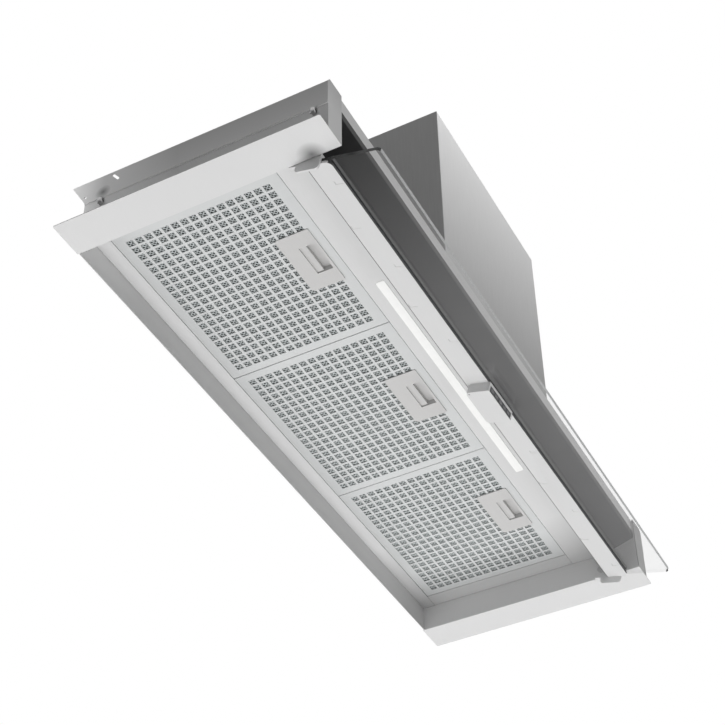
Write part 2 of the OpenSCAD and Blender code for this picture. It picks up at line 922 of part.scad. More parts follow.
// Half-round flap with its pin, drawn on the rear side
module flap() {
  r = collar_in - flap_gap;
  translate([0, 0, flap_z - flap_t / 2])
  linear_extrude(flap_t)
  intersection() {
    circle(r);
    translate([-r, flap_off]) square([2 * r, r]);
  }
  rod_x([-collar_r + flap_pin_in, collar_r - flap_pin_in], flap_off, flap_z, flap_pin_r);
}

module flap_rear() { color("dimgray") translate([0, collar_y, 0]) flap(); }

module flap_front() { color("dimgray") translate([0, collar_y, 0]) mirror([0, 1, 0]) flap(); }

// Open case of the electronics on top of the canopy
module power_module() {
  color("dimgray")
  difference() {
    block([module_x, module_x + module_w], [module_y, module_y + module_d], [deck_h, deck_h + module_h]);
    block([module_x + module_t, module_x + module_w - module_t],
      [module_y + module_t, module_y + module_d - module_t],
      [deck_h + module_t, deck_h + module_h + over]);
    translate([gland_x, module_y + module_d + over, gland_z])
    rotate([90, 0, 0])
    cylinder(r = gland_r, h = module_t + 2 * over);
  }
}

module module_lid() {
  top = deck_h + module_h;
  color("gray") {
    block([module_x, module_x + module_w], [module_y, module_y + module_d], [top, top + module_t]);
    difference() {
      block([module_x + module_t, module_x + module_w - module_t],
        [module_y + module_t, module_y + module_d - module_t], [top - 2 * module_t, top]);
      block([module_x + 2 * module_t, module_x + module_w - 2 * module_t],
        [module_y + 2 * module_t, module_y + module_d - 2 * module_t],
        [top - 2 * module_t - over, top + over / 2]);
    }
  }
}

// Gland in the rear wall of the electronics case
module cable_gland() {
  color([0.2, 0.2, 0.2])
  translate([gland_x, module_y + module_d - module_t, gland_z])
  rotate([-90, 0, 0])
  difference() {
    union() {
      cylinder(r = gland_r, h = gland_l);
      translate([0, 0, module_t]) cylinder(r = gland_nut_r, h = gland_nut_l, $fn = 6);
    }
    translate([0, 0, -over]) cylinder(r = gland_bore, h = gland_l + 2 * over);
  }
}

// Places the children, drawn level, at the tilt of the open visor
module tilted()
  translate([0, pivot_y, pivot_z])
  rotate([visor_tilt, 0, 0])
  translate([0, -pivot_y, -pivot_z])
  children();

// Bushes in the side walls for the visor's pins
module pivot_bushes() {
  color([0.85, 0.85, 0.83])
  both()
  difference() {
    union() {
      rod_x([tray_half, tray_half + bush_l], pivot_y, pivot_z, bush_r);
      rod_x([tray_out, tray_out + bush_flange_t], pivot_y, pivot_z, bush_flange_r);
    }
    rod_x([tray_half - over, tray_half + bush_l + over], pivot_y, pivot_z, pivot_r + run_gap);
  }
}

module pivot_pins() {
  color("gray")
  both() {
    rod_x([cap_in, tray_half + bush_l + pin_end], pivot_y, pivot_z, pivot_r);
    rod_x([cap_in - pin_head_t, cap_in], pivot_y, pivot_z, pin_head_r);
  }
}

// Places of the screws that clamp the glass
function clamp_spots() = [
  for (s = [-1, 1], k = clamp_shares) s * k * pane_half
];

module glass_pane() {
  color([0.75, 0.85, 0.85, 0.35])
  tilted()
  difference() {
    plate([glass_low, glass_top])
    rounded([-pane_half, pane_half], [glass_front, glass_rear], [glass_r, glass_r, 0, 0]);
    for (x = clamp_spots())
      translate([x, clamp_y, glass_low - over])
      cylinder(r = clamp_hole_r, h = glass_t + 2 * over);
  }
}

// Flat profile under the rear part of the glass, with shallow pressed marks
module visor_profile() {
  color("whitesmoke")
  tilted()
  difference() {
    plate([profile_low, glass_low])
    rounded([-pane_half, pane_half], [profile_front, profile_rear], [profile_r, profile_r, 0, 0]);
    both()
    for (i = [0:mark_n - 1]) {
      translate([mark_first + i * mark_pitch, profile_front + mark_front, profile_low])
      cube([mark_w, mark_l, 2 * mark_t], center = true);
      if (i > 0)
        translate([mark_first + (i - 0.5) * mark_pitch, profile_front + mark_rear, profile_low])
        cube([mark_w, mark_l, 2 * mark_t], center = true);
    }
    for (x = clamp_spots())
      translate([x, clamp_y, glass_low - profile_t / 2])
      cylinder(r = screw_r, h = profile_t);
  }
}

// Bar on top of the glass that clamps it to the profile
module clamp_bar() {
  color("lightgray")
  tilted()
  difference() {
    block([-bar_half, bar_half], [bar_front, profile_rear], [glass_top, glass_top + bar_t]);
    for (x = clamp_spots())
      translate([x, clamp_y, glass_top - over])
      cylinder(r = screw_r, h = bar_t + 2 * over);
  }
}

module visor_screws() {
  color("gray")
  tilted()
  for (x = clamp_spots())
    translate([x, clamp_y, glass_low - profile_t / 2]) {
      cylinder(r = screw_r, h = profile_t / 2 + glass_t + bar_t);
      translate([0, 0, profile_t / 2 + glass_t + bar_t])
      cylinder(r = screw_head_r, h = screw_head_h);
    }
}

// End cap with its arm up to the pivot, drawn on the right
module end_cap() {
  tilted()
  difference() {
    union() {
      run_x([cap_in, cap_out]) {
        rounded([cap_front, cap_rear], [cap_low, glass_top + bar_t], [cap_corner_r, cap_corner_r, 0, 0]);
        translate([pivot_y - cap_arm_r, cap_arm_low])
        square([2 * cap_arm_r, pivot_z - cap_arm_low]);
        translate([pivot_y, pivot_z]) circle(cap_arm_r);
      }
      block([bar_half, cap_in], [cap_front, profile_rear], [glass_top, glass_top + bar_t]);
    }
    rod_x([cap_in - over, cap_out + over], pivot_y, pivot_z, pivot_r);
  }
}

module end_cap_left() { color("darkgray") mirror([1, 0, 0]) end_cap(); }

module end_cap_right() { color("darkgray") end_cap(); }

// Hollow grip under the profile with the window for the controls
module handle() {
  in = handle_w / 2 - handle_t;
  color("whitesmoke")
  tilted()
  difference() {
    plate([handle_low, profile_low])
    rounded([-handle_w / 2, handle_w / 2], [handle_front, handle_rear], [0, 0, handle_r, handle_r]);
    plate([handle_low + handle_t, profile_low + over])
    rounded([-in, in], [handle_front + handle_t, handle_rear - handle_t],
      [0, 0, handle_r - handle_t, handle_r - handle_t]);
    block([-fascia_w / 2, fascia_w / 2], [handle_front - over, handle_front + handle_t + over],
      [fascia_low, fascia_low + fascia_h]);
    translate([-handle_w / 2 + sensor_in, handle_rear - sensor_in, handle_low - over])
    cylinder(r = sensor_r, h = handle_t + 2 * over);
  }
}

function button_x(k) = (k - (button_n + 1) / 2) * button_pitch;

// Dark plate in the window of the handle, pierced for the buttons
module control_fascia() {
  y = [handle_front + fascia_inset, handle_front + fascia_inset + fascia_t];
  low = handle_low + handle_t;
  color([0.1, 0.1, 0.11])
  tilted()
  difference() {
    union() {
      block([-fascia_w / 2 + cap_gap / 2, fascia_w / 2 - cap_gap / 2], y,
        [fascia_low + cap_gap / 2, fascia_low + fascia_h - cap_gap / 2]);
      block([-fascia_w / 2 - fascia_flange, fascia_w / 2 + fascia_flange],
        [y[1], y[1] + fascia_flange_t], [low, fascia_low + fascia_h + fascia_flange]);
    }
    for (k = [1:button_n])
      block([button_x(k) - button_w / 2 - button_gap, button_x(k) + button_w / 2 + button_gap],
        [y[0] - over, y[1] + fascia_flange_t + over],
        [button_z - button_h / 2 - button_gap, button_z + button_h / 2 + button_gap]);
  }
}

// Button cap with its retaining flange behind the fascia
module button(k) {
  x = button_x(k);
  color([0.3, 0.3, 0.32])
  tilted() {
    block([x - button_w / 2, x + button_w / 2], [button_y, button_back],
      [button_z - button_h / 2, button_z + button_h / 2]);
    block([x - button_w / 2 - button_flange, x + button_w / 2 + button_flange],
      [button_back, button_back + button_flange_t],
      [button_z - button_h / 2 - button_flange, button_z + button_h / 2 + button_flange]);
  }
}

module button_1() { button(1); }
module button_2() { button(2); }
module button_3() { button(3); }
module button_4() { button(4); }
module button_5() { button(5); }

// Circuit board with one key behind each button
module control_board() {
  in = handle_w / 2 - handle_t;
  tilted() {
    color("seagreen")
    block([-in, in], [board_y, board_y + handle_board_t], [handle_low + handle_t, profile_low - handle_t]);
    color("dimgray")
    for (k = [1:button_n])
      block([button_x(k) - button_h / 2, button_x(k) + button_h / 2], [board_y - key_t, board_y],
        [button_z - button_h / 2, button_z + button_h / 2]);
  }
}

// Centre of a filter, counted from the left
function filter_x(i) = (i - 2) * filter_pitch;

// True where the latch plate hides a hole of the face
function under_latch(x, y) =
  abs(x) + hole_w / 2 < latch_w / 2 && y + hole_w / 2 < latch_rear && y - hole_w / 2 > latch_front;

// Holes of a face about its own centre line
module face_holes() {
  for (c = [0:hole_cols - 1], r = [0:hole_rows - 1]) {
    x = (c - (hole_cols - 1) / 2) * hole_pitch;
    y = filter_front + hole_front + r * hole_pitch;
    if (!under_latch(x, y))
      translate([x - hole_w / 2, y - hole_w / 2]) square(hole_w);
  }
}

// Perforated cassette with turned-in top edges and two hooks at the rear
module filter_frame(i) {
  half = filter_w / 2;
  color("gainsboro")
  translate([filter_x(i), 0, 0])
  difference() {
    union() {
      plate([recess_h, recess_h + face_t])
      difference() {
        translate([-half, filter_front]) square([filter_w, filter_d]);
        face_holes();
        translate([-cup_half - slider_room, cup_front - slider_room])
        square([2 * (cup_half + slider_room), cup_rear - cup_front + 2 * slider_room]);
      }
      difference() {
        block([-half, half], [filter_front, filter_rear], [recess_h + face_t / 2, filter_top]);
        block([-half + frame_t, half - frame_t], [filter_front + frame_t, filter_rear - frame_t],
          [recess_h, filter_top - frame_t]);
        block([-half + frame_lip_w, half - frame_lip_w],
          [filter_front + frame_lip_w, filter_rear - frame_lip_w], [recess_h, filter_top + over]);
      }
      both()
      block([tab_x - tab_w / 2, tab_x + tab_w / 2], [filter_rear - frame_t / 2, filter_rear + tab_d],
        [ceil_top + seat_gap, ceil_top + seat_gap + tab_t]);
    }
    block([-slider_half - slider_room, slider_half + slider_room],
      [filter_front - over, filter_front + frame_t + over],
      [recess_h + face_t, tongue_top + slider_room]);
  }
}

// Woven layer right behind the face, left open around the latch
module filter_mesh(i) {
  half = filter_w / 2 - frame_t;
  room = slider_half + slider_room;
  color("slategray")
  translate([filter_x(i), 0, 0])
  plate([recess_h + face_t, recess_h + face_t + mesh_t])
  difference() {
    translate([-half, filter_front + frame_t]) square([2 * half, filter_d - 2 * frame_t]);
    for (c = [0:hole_cols - 2], r = [0:hole_rows - 2])
      translate([
        (c - (hole_cols - 2) / 2) * hole_pitch - (hole_pitch - strand_w) / 2,
        filter_front + hole_front + (r + 0.5) * hole_pitch - (hole_pitch - strand_w) / 2
      ])
      square(hole_pitch - strand_w);
    translate([-room, filter_front])
    square([2 * room, cup_rear + slider_room - filter_front]);
  }
}

// Cover plate of the latch with the finger recess behind it
module latch_plate(i) {
  color("silver")
  translate([filter_x(i), 0, 0])
  difference() {
    union() {
      plate([recess_h - latch_t, recess_h])
      rounded([-latch_w / 2, latch_w / 2], [latch_front, latch_rear],
        [latch_cut, latch_cut, latch_r, latch_r]);
      block([-cup_half, cup_half], [cup_front, cup_rear], [recess_h - latch_t / 2, cup_top]);
    }
    block([-grip_w / 2, grip_w / 2], [grip_front, grip_rear], [recess_h - latch_t - over, cup_top - cup_t]);
    block([-grip_w / 2, grip_w / 2], [grip_front, cup_rear - cup_t], [recess_h, cup_top - cup_t]);
    block([-cup_half - over, cup_half + over], [grip_step + slider_t, cup_rear - cup_t],
      [slider_z - slider_room, slider_z + slider_t + slider_room]);
  }
}

// Sprung slider with the grip bar, two side arms and a snap tongue with a ramp on either side
module latch_slider(i) {
  z = [slider_z, slider_z + slider_t];
  bar_in = grip_w / 2 - 2 * slider_room;
  cross = grip_step + slider_t + 2 * slider_room;
  bar_rear = grip_step + slider_bar_d;
  nose = z[0] + tongue_ramp_h + tongue_nose;
  color("darkgray")
  translate([filter_x(i), 0, 0]) {
    block([-bar_in, bar_in], [grip_step, bar_rear],
      [recess_h + seat_gap, recess_h + seat_gap + slider_bar_h]);
    block([-slider_half, slider_half], [cross, bar_rear], z);
    both()
    block([slider_half - slider_arm_w, slider_half], [tongue_rear - slider_t, bar_rear], z);
    run_x([-slider_half, slider_half])
    polygon([
      [tongue_rear, z[0]], [tongue_rear, nose + tongue_lead_h], [panel_rear, nose + tongue_lead_h],
      [tongue_tip, nose], [tongue_tip, nose - tongue_nose], [panel_rear, z[0]]
    ]);
  }
}

module filter_frame_1() { filter_frame(1); }
module filter_frame_2() { filter_frame(2); }
module filter_frame_3() { filter_frame(3); }
module filter_mesh_1() { filter_mesh(1); }
module filter_mesh_2() { filter_mesh(2); }
module filter_mesh_3() { filter_mesh(3); }
module latch_plate_1() { latch_plate(1); }
module latch_plate_2() { latch_plate(2); }
module latch_plate_3() { latch_plate(3); }
module latch_slider_1() { latch_slider(1); }
module latch_slider_2() { latch_slider(2); }
module latch_slider_3() { latch_slider(3); }

canopy_tray();
front_panel();
rear_ledge();
filler_left();
filler_right();
filter_rail_left();
filter_rail_right();
plenum_cover();
cover_screws();
front_rail();
slot_baffle();
side_bracket_left();
side_bracket_right();
fixing_screws();
led_diffuser();
led_board();
led_channel();
housing_wrap();
housing_top();
housing_screws();
blower_scroll();
inlet_rings();
motor_bracket();
motor_body();
rotor_shaft();
impeller();
duct_collar();
flap_front();
flap_rear();
power_module();
module_lid();
cable_gland();
pivot_bushes();
pivot_pins();
glass_pane();
visor_profile();
clamp_bar();
visor_screws();
end_cap_left();
end_cap_right();
handle();
control_fascia();
control_board();
button_1();
button_2();
button_3();
button_4();
button_5();
filter_frame_1();
filter_mesh_1();
latch_plate_1();
latch_slider_1();
filter_frame_2();
filter_mesh_2();
latch_plate_2();
latch_slider_2();
filter_frame_3();
filter_mesh_3();
latch_plate_3();
latch_slider_3();
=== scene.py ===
"""Built-in range hood: finishes, woven filters, screws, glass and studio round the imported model."""

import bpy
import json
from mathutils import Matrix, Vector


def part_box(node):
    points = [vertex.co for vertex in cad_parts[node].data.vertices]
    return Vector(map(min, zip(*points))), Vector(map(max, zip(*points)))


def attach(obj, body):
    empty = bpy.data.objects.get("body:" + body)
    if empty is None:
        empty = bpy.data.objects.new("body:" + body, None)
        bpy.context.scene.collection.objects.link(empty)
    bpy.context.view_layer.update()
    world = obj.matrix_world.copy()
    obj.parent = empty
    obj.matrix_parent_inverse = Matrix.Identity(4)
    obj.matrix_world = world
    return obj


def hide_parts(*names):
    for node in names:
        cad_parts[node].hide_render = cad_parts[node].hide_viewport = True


bl_info = {
    "name": "Built-in Range Hood",
    "version": (1, 0, 0),
    "blender": (4, 5, 0),
    "location": "3D View > Sidebar > Hood",
    "description": "Dresses the range hood and sets up its studio",
    "category": "Object",
}

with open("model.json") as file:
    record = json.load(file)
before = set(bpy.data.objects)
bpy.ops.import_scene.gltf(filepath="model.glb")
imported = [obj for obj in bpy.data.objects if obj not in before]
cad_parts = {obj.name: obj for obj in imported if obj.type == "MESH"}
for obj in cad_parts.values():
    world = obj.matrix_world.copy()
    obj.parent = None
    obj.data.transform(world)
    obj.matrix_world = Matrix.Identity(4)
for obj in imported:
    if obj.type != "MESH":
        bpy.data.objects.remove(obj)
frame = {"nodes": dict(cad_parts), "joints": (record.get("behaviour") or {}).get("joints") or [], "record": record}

import json
import math

import bmesh
import bpy
from mathutils import Matrix, Vector

MM = 0.001
RIGHT, BACK, UP = (1, 0, 0), (0, 1, 0), (0, 0, 1)
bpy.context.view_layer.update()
nodes = frame["nodes"]
body_of_node = {
    node: body
    for body, members in frame["record"]["behaviour"]["bodies"].items()
    for node in members
}
slot_of_node = {
    part["node"]: part["material_slot"] for part in frame["record"]["subparts"]
}


# Sizes and colours

COLOUR = {"size": 4, "min": 0, "max": 1, "subtype": "COLOR"}
LENGTH = {"subtype": "DISTANCE", "unit": "LENGTH"}
POWER = {"min": 0, "max": 500, "subtype": "POWER", "unit": "POWER"}


class HoodSheet(bpy.types.PropertyGroup):
    """Steel sheet of the canopy, the brackets and the blower housing."""

    bend: bpy.props.FloatProperty(
        name="Bend radius",
        description="Outer radius of a folded edge of the sheet",
        default=0.9 * MM, min=0.1 * MM, max=2 * MM, **LENGTH,
    )
    cut: bpy.props.FloatProperty(
        name="Cut edge",
        description="Radius left on the cut edges of the sheet",
        default=0.12 * MM, min=0.02 * MM, max=0.3 * MM, **LENGTH,
    )
    steel: bpy.props.FloatVectorProperty(
        name="Steel", description="Colour of the brushed steel",
        default=(0.66, 0.66, 0.66, 1), **COLOUR,
    )
    # A darker copy of the steel: painted shade on the fillers beside the filters.
    steel_shaded: bpy.props.FloatVectorProperty(
        name="Dark steel", description="Colour of the plain steel beside the filters",
        default=(0.36, 0.36, 0.36, 1), **COLOUR,
    )
    zinc: bpy.props.FloatVectorProperty(
        name="Zinc", description="Colour of the galvanized sheet",
        default=(0.48, 0.49, 0.5, 1), **COLOUR,
    )
    shine: bpy.props.FloatProperty(
        name="Metal share", description="How metallic the steel is",
        default=0.12, min=0, max=1, subtype="FACTOR",
    )


class HoodFilters(bpy.types.PropertyGroup):
    """Perforated filters with their woven mesh and latches."""

    rim: bpy.props.FloatProperty(
        name="Hole rim",
        description="Width of the pressed rim round each hole",
        default=0.28 * MM, min=0.05 * MM, max=0.6 * MM, **LENGTH,
    )
    wire: bpy.props.FloatProperty(
        name="Wire", description="Thickness of a wire of the mesh",
        default=1.05 * MM, min=0.2 * MM, max=1.2 * MM, **LENGTH,
    )
    pitch: bpy.props.FloatProperty(
        name="Mesh pitch", description="Side of a square that holds one crossing of two wires",
        default=4.5 * MM, min=1.5 * MM, max=6 * MM, **LENGTH,
    )
    sheet: bpy.props.FloatVectorProperty(
        name="Filter sheet", description="Colour of the perforated aluminium",
        default=(0.59, 0.6, 0.6, 1), **COLOUR,
    )
    weave: bpy.props.FloatVectorProperty(
        name="Mesh", description="Colour of the aluminium wires",
        default=(0.78, 0.82, 0.82, 1), **COLOUR,
    )
    depth: bpy.props.FloatVectorProperty(
        name="Mesh in shadow", description="Colour of the deeper layers of the mesh",
        default=(0.07, 0.075, 0.075, 1), **COLOUR,
    )
    latch: bpy.props.FloatVectorProperty(
        name="Latch", description="Colour of the latches",
        default=(0.53, 0.525, 0.52, 1), **COLOUR,
    )


class HoodVisor(bpy.types.PropertyGroup):
    """Tilting glass visor with its profile, handle and buttons."""

    arris: bpy.props.FloatProperty(
        name="Glass arris", description="Ground edge of the pane",
        default=0.5 * MM, min=0.1 * MM, max=1 * MM, **LENGTH,
    )
    tint: bpy.props.FloatVectorProperty(
        name="Glass", description="Tint of the pane",
        default=(1, 1, 1, 1), **COLOUR,
    )
    # The veil is a scattering film that paints the pane's reflection of the bright room.
    veil: bpy.props.FloatProperty(
        name="Veil", description="Share of the light that each face of the glass scatters",
        default=0.05, min=0, max=0.5, subtype="FACTOR",
    )
    mirrored: bpy.props.FloatProperty(
        name="Mirrored", description="Share of the light that each face of the glass mirrors",
        default=0.07, min=0.01, max=0.5, subtype="FACTOR",
    )
    edge: bpy.props.FloatVectorProperty(
        name="Glass edge", description="Colour of the front edge of the pane",
        default=(0.6, 0.61, 0.61, 1), **COLOUR,
    )
    # Near-black, painted shade: the dark look that light through the glass gives its ends and arrises.
    edge_shade: bpy.props.FloatVectorProperty(
        name="Dark edge", description="Colour of the ends and arrises of the pane",
        default=(0.015, 0.016, 0.016, 1), **COLOUR,
    )
    # Painted shade: a dark line along the rear edge of the profile.
    lip: bpy.props.FloatProperty(
        name="Rear lip", description="Width of the dark lip along the rear edge of the profile",
        default=0.9 * MM, min=0.1 * MM, max=3 * MM, **LENGTH,
    )
    profile: bpy.props.FloatVectorProperty(
        name="Profile", description="Colour of the anodised aluminium",
        default=(0.64, 0.64, 0.64, 1), **COLOUR,
    )
    button: bpy.props.FloatVectorProperty(
        name="Buttons", description="Colour of the button caps",
        default=(0.045, 0.045, 0.05, 1), **COLOUR,
    )


class HoodScrews(bpy.types.PropertyGroup):
    """Cross recess of the screws, as shares of the head."""

    recess_width: bpy.props.FloatProperty(
        name="Recess width", description="Width of a recess arm as a share of the head's radius",
        default=0.28, min=0.1, max=0.5, subtype="FACTOR",
    )
    recess_length: bpy.props.FloatProperty(
        name="Recess length", description="Length of a recess arm as a share of the head's width",
        default=0.62, min=0.3, max=0.9, subtype="FACTOR",
    )
    recess_depth: bpy.props.FloatProperty(
        name="Recess depth", description="Depth of the recess as a share of the head's height",
        default=0.6, min=0.2, max=0.9, subtype="FACTOR",
    )


class HoodFan(bpy.types.PropertyGroup):
    """Colours of the blower inside the housing."""

    motor: bpy.props.FloatVectorProperty(
        name="Motor", description="Colour of the painted motor casting",
        default=(0.1, 0.1, 0.105, 1), **COLOUR,
    )
    fan: bpy.props.FloatVectorProperty(
        name="Fan", description="Colour of the galvanized impeller",
        default=(0.42, 0.44, 0.46, 1), **COLOUR,
    )


class HoodStudio(bpy.types.PropertyGroup):
    """Floor, light and camera."""

    floor_drop: bpy.props.FloatProperty(
        name="Floor level", description="Height of the hood above the floor",
        default=2.4, min=1.5, max=4, **LENGTH,
    )
    floor: bpy.props.FloatVectorProperty(
        name="Floor", description="Colour of the floor",
        default=(0.8, 0.8, 0.8, 1), **COLOUR,
    )
    floor_shown: bpy.props.FloatProperty(
        name="Floor brightness",
        description="Share of its own colour that the camera sees on the floor",
        default=0.85, min=0, max=1, subtype="FACTOR",
    )
    backdrop: bpy.props.FloatVectorProperty(
        name="Backdrop", description="Colour behind the hood",
        default=(1, 1, 1, 1), **COLOUR,
    )
    ambient: bpy.props.FloatProperty(
        name="Room light", description="Strength of the even light from all sides",
        default=0.02, min=0, max=1, subtype="FACTOR",
    )
    below: bpy.props.FloatProperty(
        name="Lower lamp", description="Power of the soft lamp under the hood",
        default=22.0, **POWER,
    )
    front: bpy.props.FloatProperty(
        name="Front lamp", description="Power of the soft lamp below and in front",
        default=18.0, **POWER,
    )
    left: bpy.props.FloatProperty(
        name="Left lamp", description="Power of the soft lamp below on the left",
        default=7.0, **POWER,
    )
    right: bpy.props.FloatProperty(
        name="Right lamp", description="Power of the soft lamp below on the right",
        default=16.0, **POWER,
    )
    rear: bpy.props.FloatProperty(
        name="Rear lamp", description="Power of the soft lamp below and behind",
        default=28.0, **POWER,
    )
    above: bpy.props.FloatProperty(
        name="Upper lamp", description="Power of the soft lamp over the hood",
        default=15.0, **POWER,
    )
    focal: bpy.props.FloatProperty(
        name="Focal length", description="Focal length on a 36 mm wide sensor",
        default=84.21, min=20, max=300, unit="CAMERA",
    )


# Node trees written as Python


class Wire:
    """An output of a node, on which arithmetic adds Math nodes."""

    def __init__(self, net, socket):
        self.net = net
        self.socket = socket

    def maths(self, operation, *values):
        return self.net.node("ShaderNodeMath", dict(enumerate(values)), operation=operation)

    def __add__(self, other):
        return self.maths("ADD", self, other)

    def __mul__(self, other):
        return self.maths("MULTIPLY", self, other)

    def __sub__(self, other):
        return self.maths("SUBTRACT", self, other)

    def __rsub__(self, other):
        return self.maths("SUBTRACT", other, self)

    def __truediv__(self, other):
        return self.maths("DIVIDE", self, other)

    def over(self, other):
        return self.maths("GREATER_THAN", self, other)

    def under(self, other):
        return self.maths("LESS_THAN", self, other)

    def most(self, other):
        return self.maths("MAXIMUM", self, other)

    def least(self, other):
        return self.maths("MINIMUM", self, other)

    def size(self):
        return self.maths("ABSOLUTE", self)

    def floor(self):
        return self.maths("FLOOR", self)

    def cosine(self):
        return self.maths("COSINE", self)


class Net:
    """A node tree whose nodes all come from one method."""

    def __init__(self, tree):
        self.tree = tree

    def node(self, kind, inputs=None, output=0, **settings):
        """Adds a node with its settings and inputs and gives the wanted output."""
        made = self.tree.nodes.new(kind)
        for key, value in settings.items():
            setattr(made, key, value)
        for key, value in (inputs or {}).items():
            if isinstance(value, Wire):
                self.tree.links.new(value.socket, made.inputs[key])
            else:
                made.inputs[key].default_value = value
        return Wire(self, made.outputs[output]) if len(made.outputs) else made

    def mixed(self, share, first, second):
        return self.node("ShaderNodeMixShader", {0: share, 1: first, 2: second})

    def outputs_of(self, wire):
        """All the outputs of a wire's node, by name."""
        return {socket.name: Wire(self, socket) for socket in wire.socket.node.outputs}

    def split(self, vector):
        """A vector's three numbers."""
        return self.outputs_of(self.node("ShaderNodeSeparateXYZ", {0: vector})).values()


class Finish(Net):
    """A material built node by node."""

    def __init__(self, name):
        self.material = bpy.data.materials.new(name)
        self.material.use_nodes = True
        super().__init__(self.material.node_tree)
        self.tree.nodes.clear()

    def place(self, scale=(1, 1, 1)):
        spot = self.node("ShaderNodeTexCoord", output="Object")
        return self.node("ShaderNodeMapping", {"Vector": spot, "Scale": scale})

    def spot(self):
        """The point's place from side to side, from front to back and upwards."""
        return self.split(self.place())

    def measured(self, operation, other):
        """The point's dot product with a fixed vector, or its distance from it."""
        return self.node(
            "ShaderNodeVectorMath", {0: self.place(), 1: other}, "Value", operation=operation
        )

    def noise(self, scale, detail=3.0, rough=0.55):
        return self.node(
            "ShaderNodeTexNoise",
            {"Vector": self.place(scale), "Scale": 1.0, "Detail": detail, "Roughness": rough},
        )

    def blend(self, share, low, high):
        return self.node("ShaderNodeMix", {0: share, 6: low, 7: high}, 2, data_type="RGBA")

    def bump(self, height, strength, distance):
        return self.node(
            "ShaderNodeBump",
            {"Strength": strength, "Distance": distance, "Height": height},
        )

    def principled(self, inputs):
        return self.node("ShaderNodeBsdfPrincipled", inputs)

    def close(self, surface):
        self.node("ShaderNodeOutputMaterial", {"Surface": surface})
        return self.material


def scaled(tint, share):
    return tuple(min(1.0, c * share) for c in tint[:3]) + (1.0,)


def metal_finish(name, tint, shine, rough, scale, depth, spread=0.05, painted_fades=(), painted_shades=()):
    """Rolled or brushed metal: streaks along the sheet, slow clouds and faint handling marks.

    Each painted fade is painted light or shade along a direction: the direction, where it starts
    and ends along it, the share of light left and, if wanted, how much more metallic it gets.
    Each painted shade is a painted shadow round a point: the point, its reach and the share
    of light left."""
    made = Finish(name)
    streak = made.noise(scale, 4.0, 0.6)
    cloud = made.noise((6, 6, 6), 2.0)
    marks = made.noise((38, 52, 38), 5.0, 0.7)
    share = streak * 0.6 + cloud * 0.4
    colour = made.blend(share, scaled(tint, 1 - spread), scaled(tint, 1 + spread))
    # Painted light and shade that grows along a direction.
    for way, start, end, left, *gleam in painted_fades:
        along = made.measured("DOT_PRODUCT", way)
        faded = ((along - start) / (end - start)).least(1.0).most(0.0)
        colour = made.blend(faded, colour, scaled(tint, left))
        if gleam:
            shine = faded * gleam[0] + shine
    # Painted shadows round points.
    for centre, reach, left in painted_shades:
        away = made.measured("DISTANCE", centre)
        colour = made.blend((1.0 - away / reach).most(0.0), colour, scaled(tint, left))
    return made.close(made.principled({
        "Base Color": colour,
        "Metallic": shine,
        "Roughness": streak * 0.12 + marks * 0.08 + (rough - 0.1),
        "Normal": made.bump(streak, depth, 0.2 * MM),
    }))


def shaded_finish(name, light, dark, shine, sheen, reach):
    """Upright brushed sheet with painted light at its upper left falling off to painted shade at its lower right
    and on its left side wall.
    """
    made = Finish(name)
    low, high = reach
    left_wall = low.x + 1.2 * MM
    streak = made.noise((900, 900, 24), 4.0, 0.6)
    x, _, z = made.spot()
    across = (x - low.x) / (high.x - low.x)
    down = (high.z - z) / (high.z - low.z)
    # The left side wall is painted in shade.
    side = x.under(left_wall)
    front = (across * 0.31 + down * 0.69) * (1.0 - side)
    share = (front + side * 0.9 + streak * 0.12 - 0.06).least(1.0).most(0.0)
    return made.close(made.principled({
        "Base Color": made.blend(share, light, dark),
        "Metallic": (1.0 - share) * sheen + shine,
        "Roughness": streak * 0.15 + 0.32,
        "Normal": made.bump(streak, 0.07, 0.2 * MM),
    }))


def zinc_finish(name, tint, shine):
    """Galvanized sheet with its crystal pattern."""
    made = Finish(name)
    spangle = made.node(
        "ShaderNodeTexVoronoi",
        {"Vector": made.place((90, 90, 90)), "Scale": 1.0}, output="Color",
    )
    tone = made.node("ShaderNodeRGBToBW", {"Color": spangle})
    colour = made.blend(tone, scaled(tint, 0.86), scaled(tint, 1.1))
    return made.close(made.principled({
        "Base Color": colour,
        "Metallic": shine,
        "Roughness": tone * 0.16 + 0.34,
        "Normal": made.bump(made.noise((400, 400, 400)), 0.05, 0.2 * MM),
    }))


def plastic_finish(name, tint, rough, grain=0.08, coat=0.0):
    """Moulded plastic with a fine spark-eroded grain."""
    made = Finish(name)
    grains = made.noise((900, 900, 900), 2.0)
    cloud = made.noise((15, 15, 15))
    return made.close(made.principled({
        "Base Color": made.blend(cloud, scaled(tint, 0.94), scaled(tint, 1.06)),
        "Metallic": 0.0,
        "Roughness": grains * 0.1 + cloud * 0.06 + (rough - 0.08),
        "Coat Weight": coat,
        "Normal": made.bump(grains, grain, 0.1 * MM),
    }))


def cast_finish(name, tint):
    """Painted cast metal with an orange-peel skin."""
    made = Finish(name)
    peel = made.noise((220, 220, 220), 2.0)
    cloud = made.noise((24, 24, 24))
    return made.close(made.principled({
        "Base Color": made.blend(cloud, scaled(tint, 0.85), scaled(tint, 1.15)),
        "Metallic": 0.3,
        "Roughness": cloud * 0.2 + 0.4,
        "Normal": made.bump(peel, 0.25, 0.3 * MM),
    }))


def board_finish(name, tint):
    """Circuit board: green lacquer over copper tracks."""
    made = Finish(name)
    tracks = made.node(
        "ShaderNodeTexBrick",
        {"Vector": made.place(), "Scale": 160.0, "Mortar Size": 0.04}, output="Fac",
    )
    return made.close(made.principled({
        "Base Color": made.blend(tracks, scaled(tint, 1.0), scaled(tint, 1.5)),
        "Metallic": 0.0,
        "Roughness": made.noise((300, 300, 300)) * 0.15 + 0.3,
        "Normal": made.bump(tracks, 0.2, 0.1 * MM),
    }))


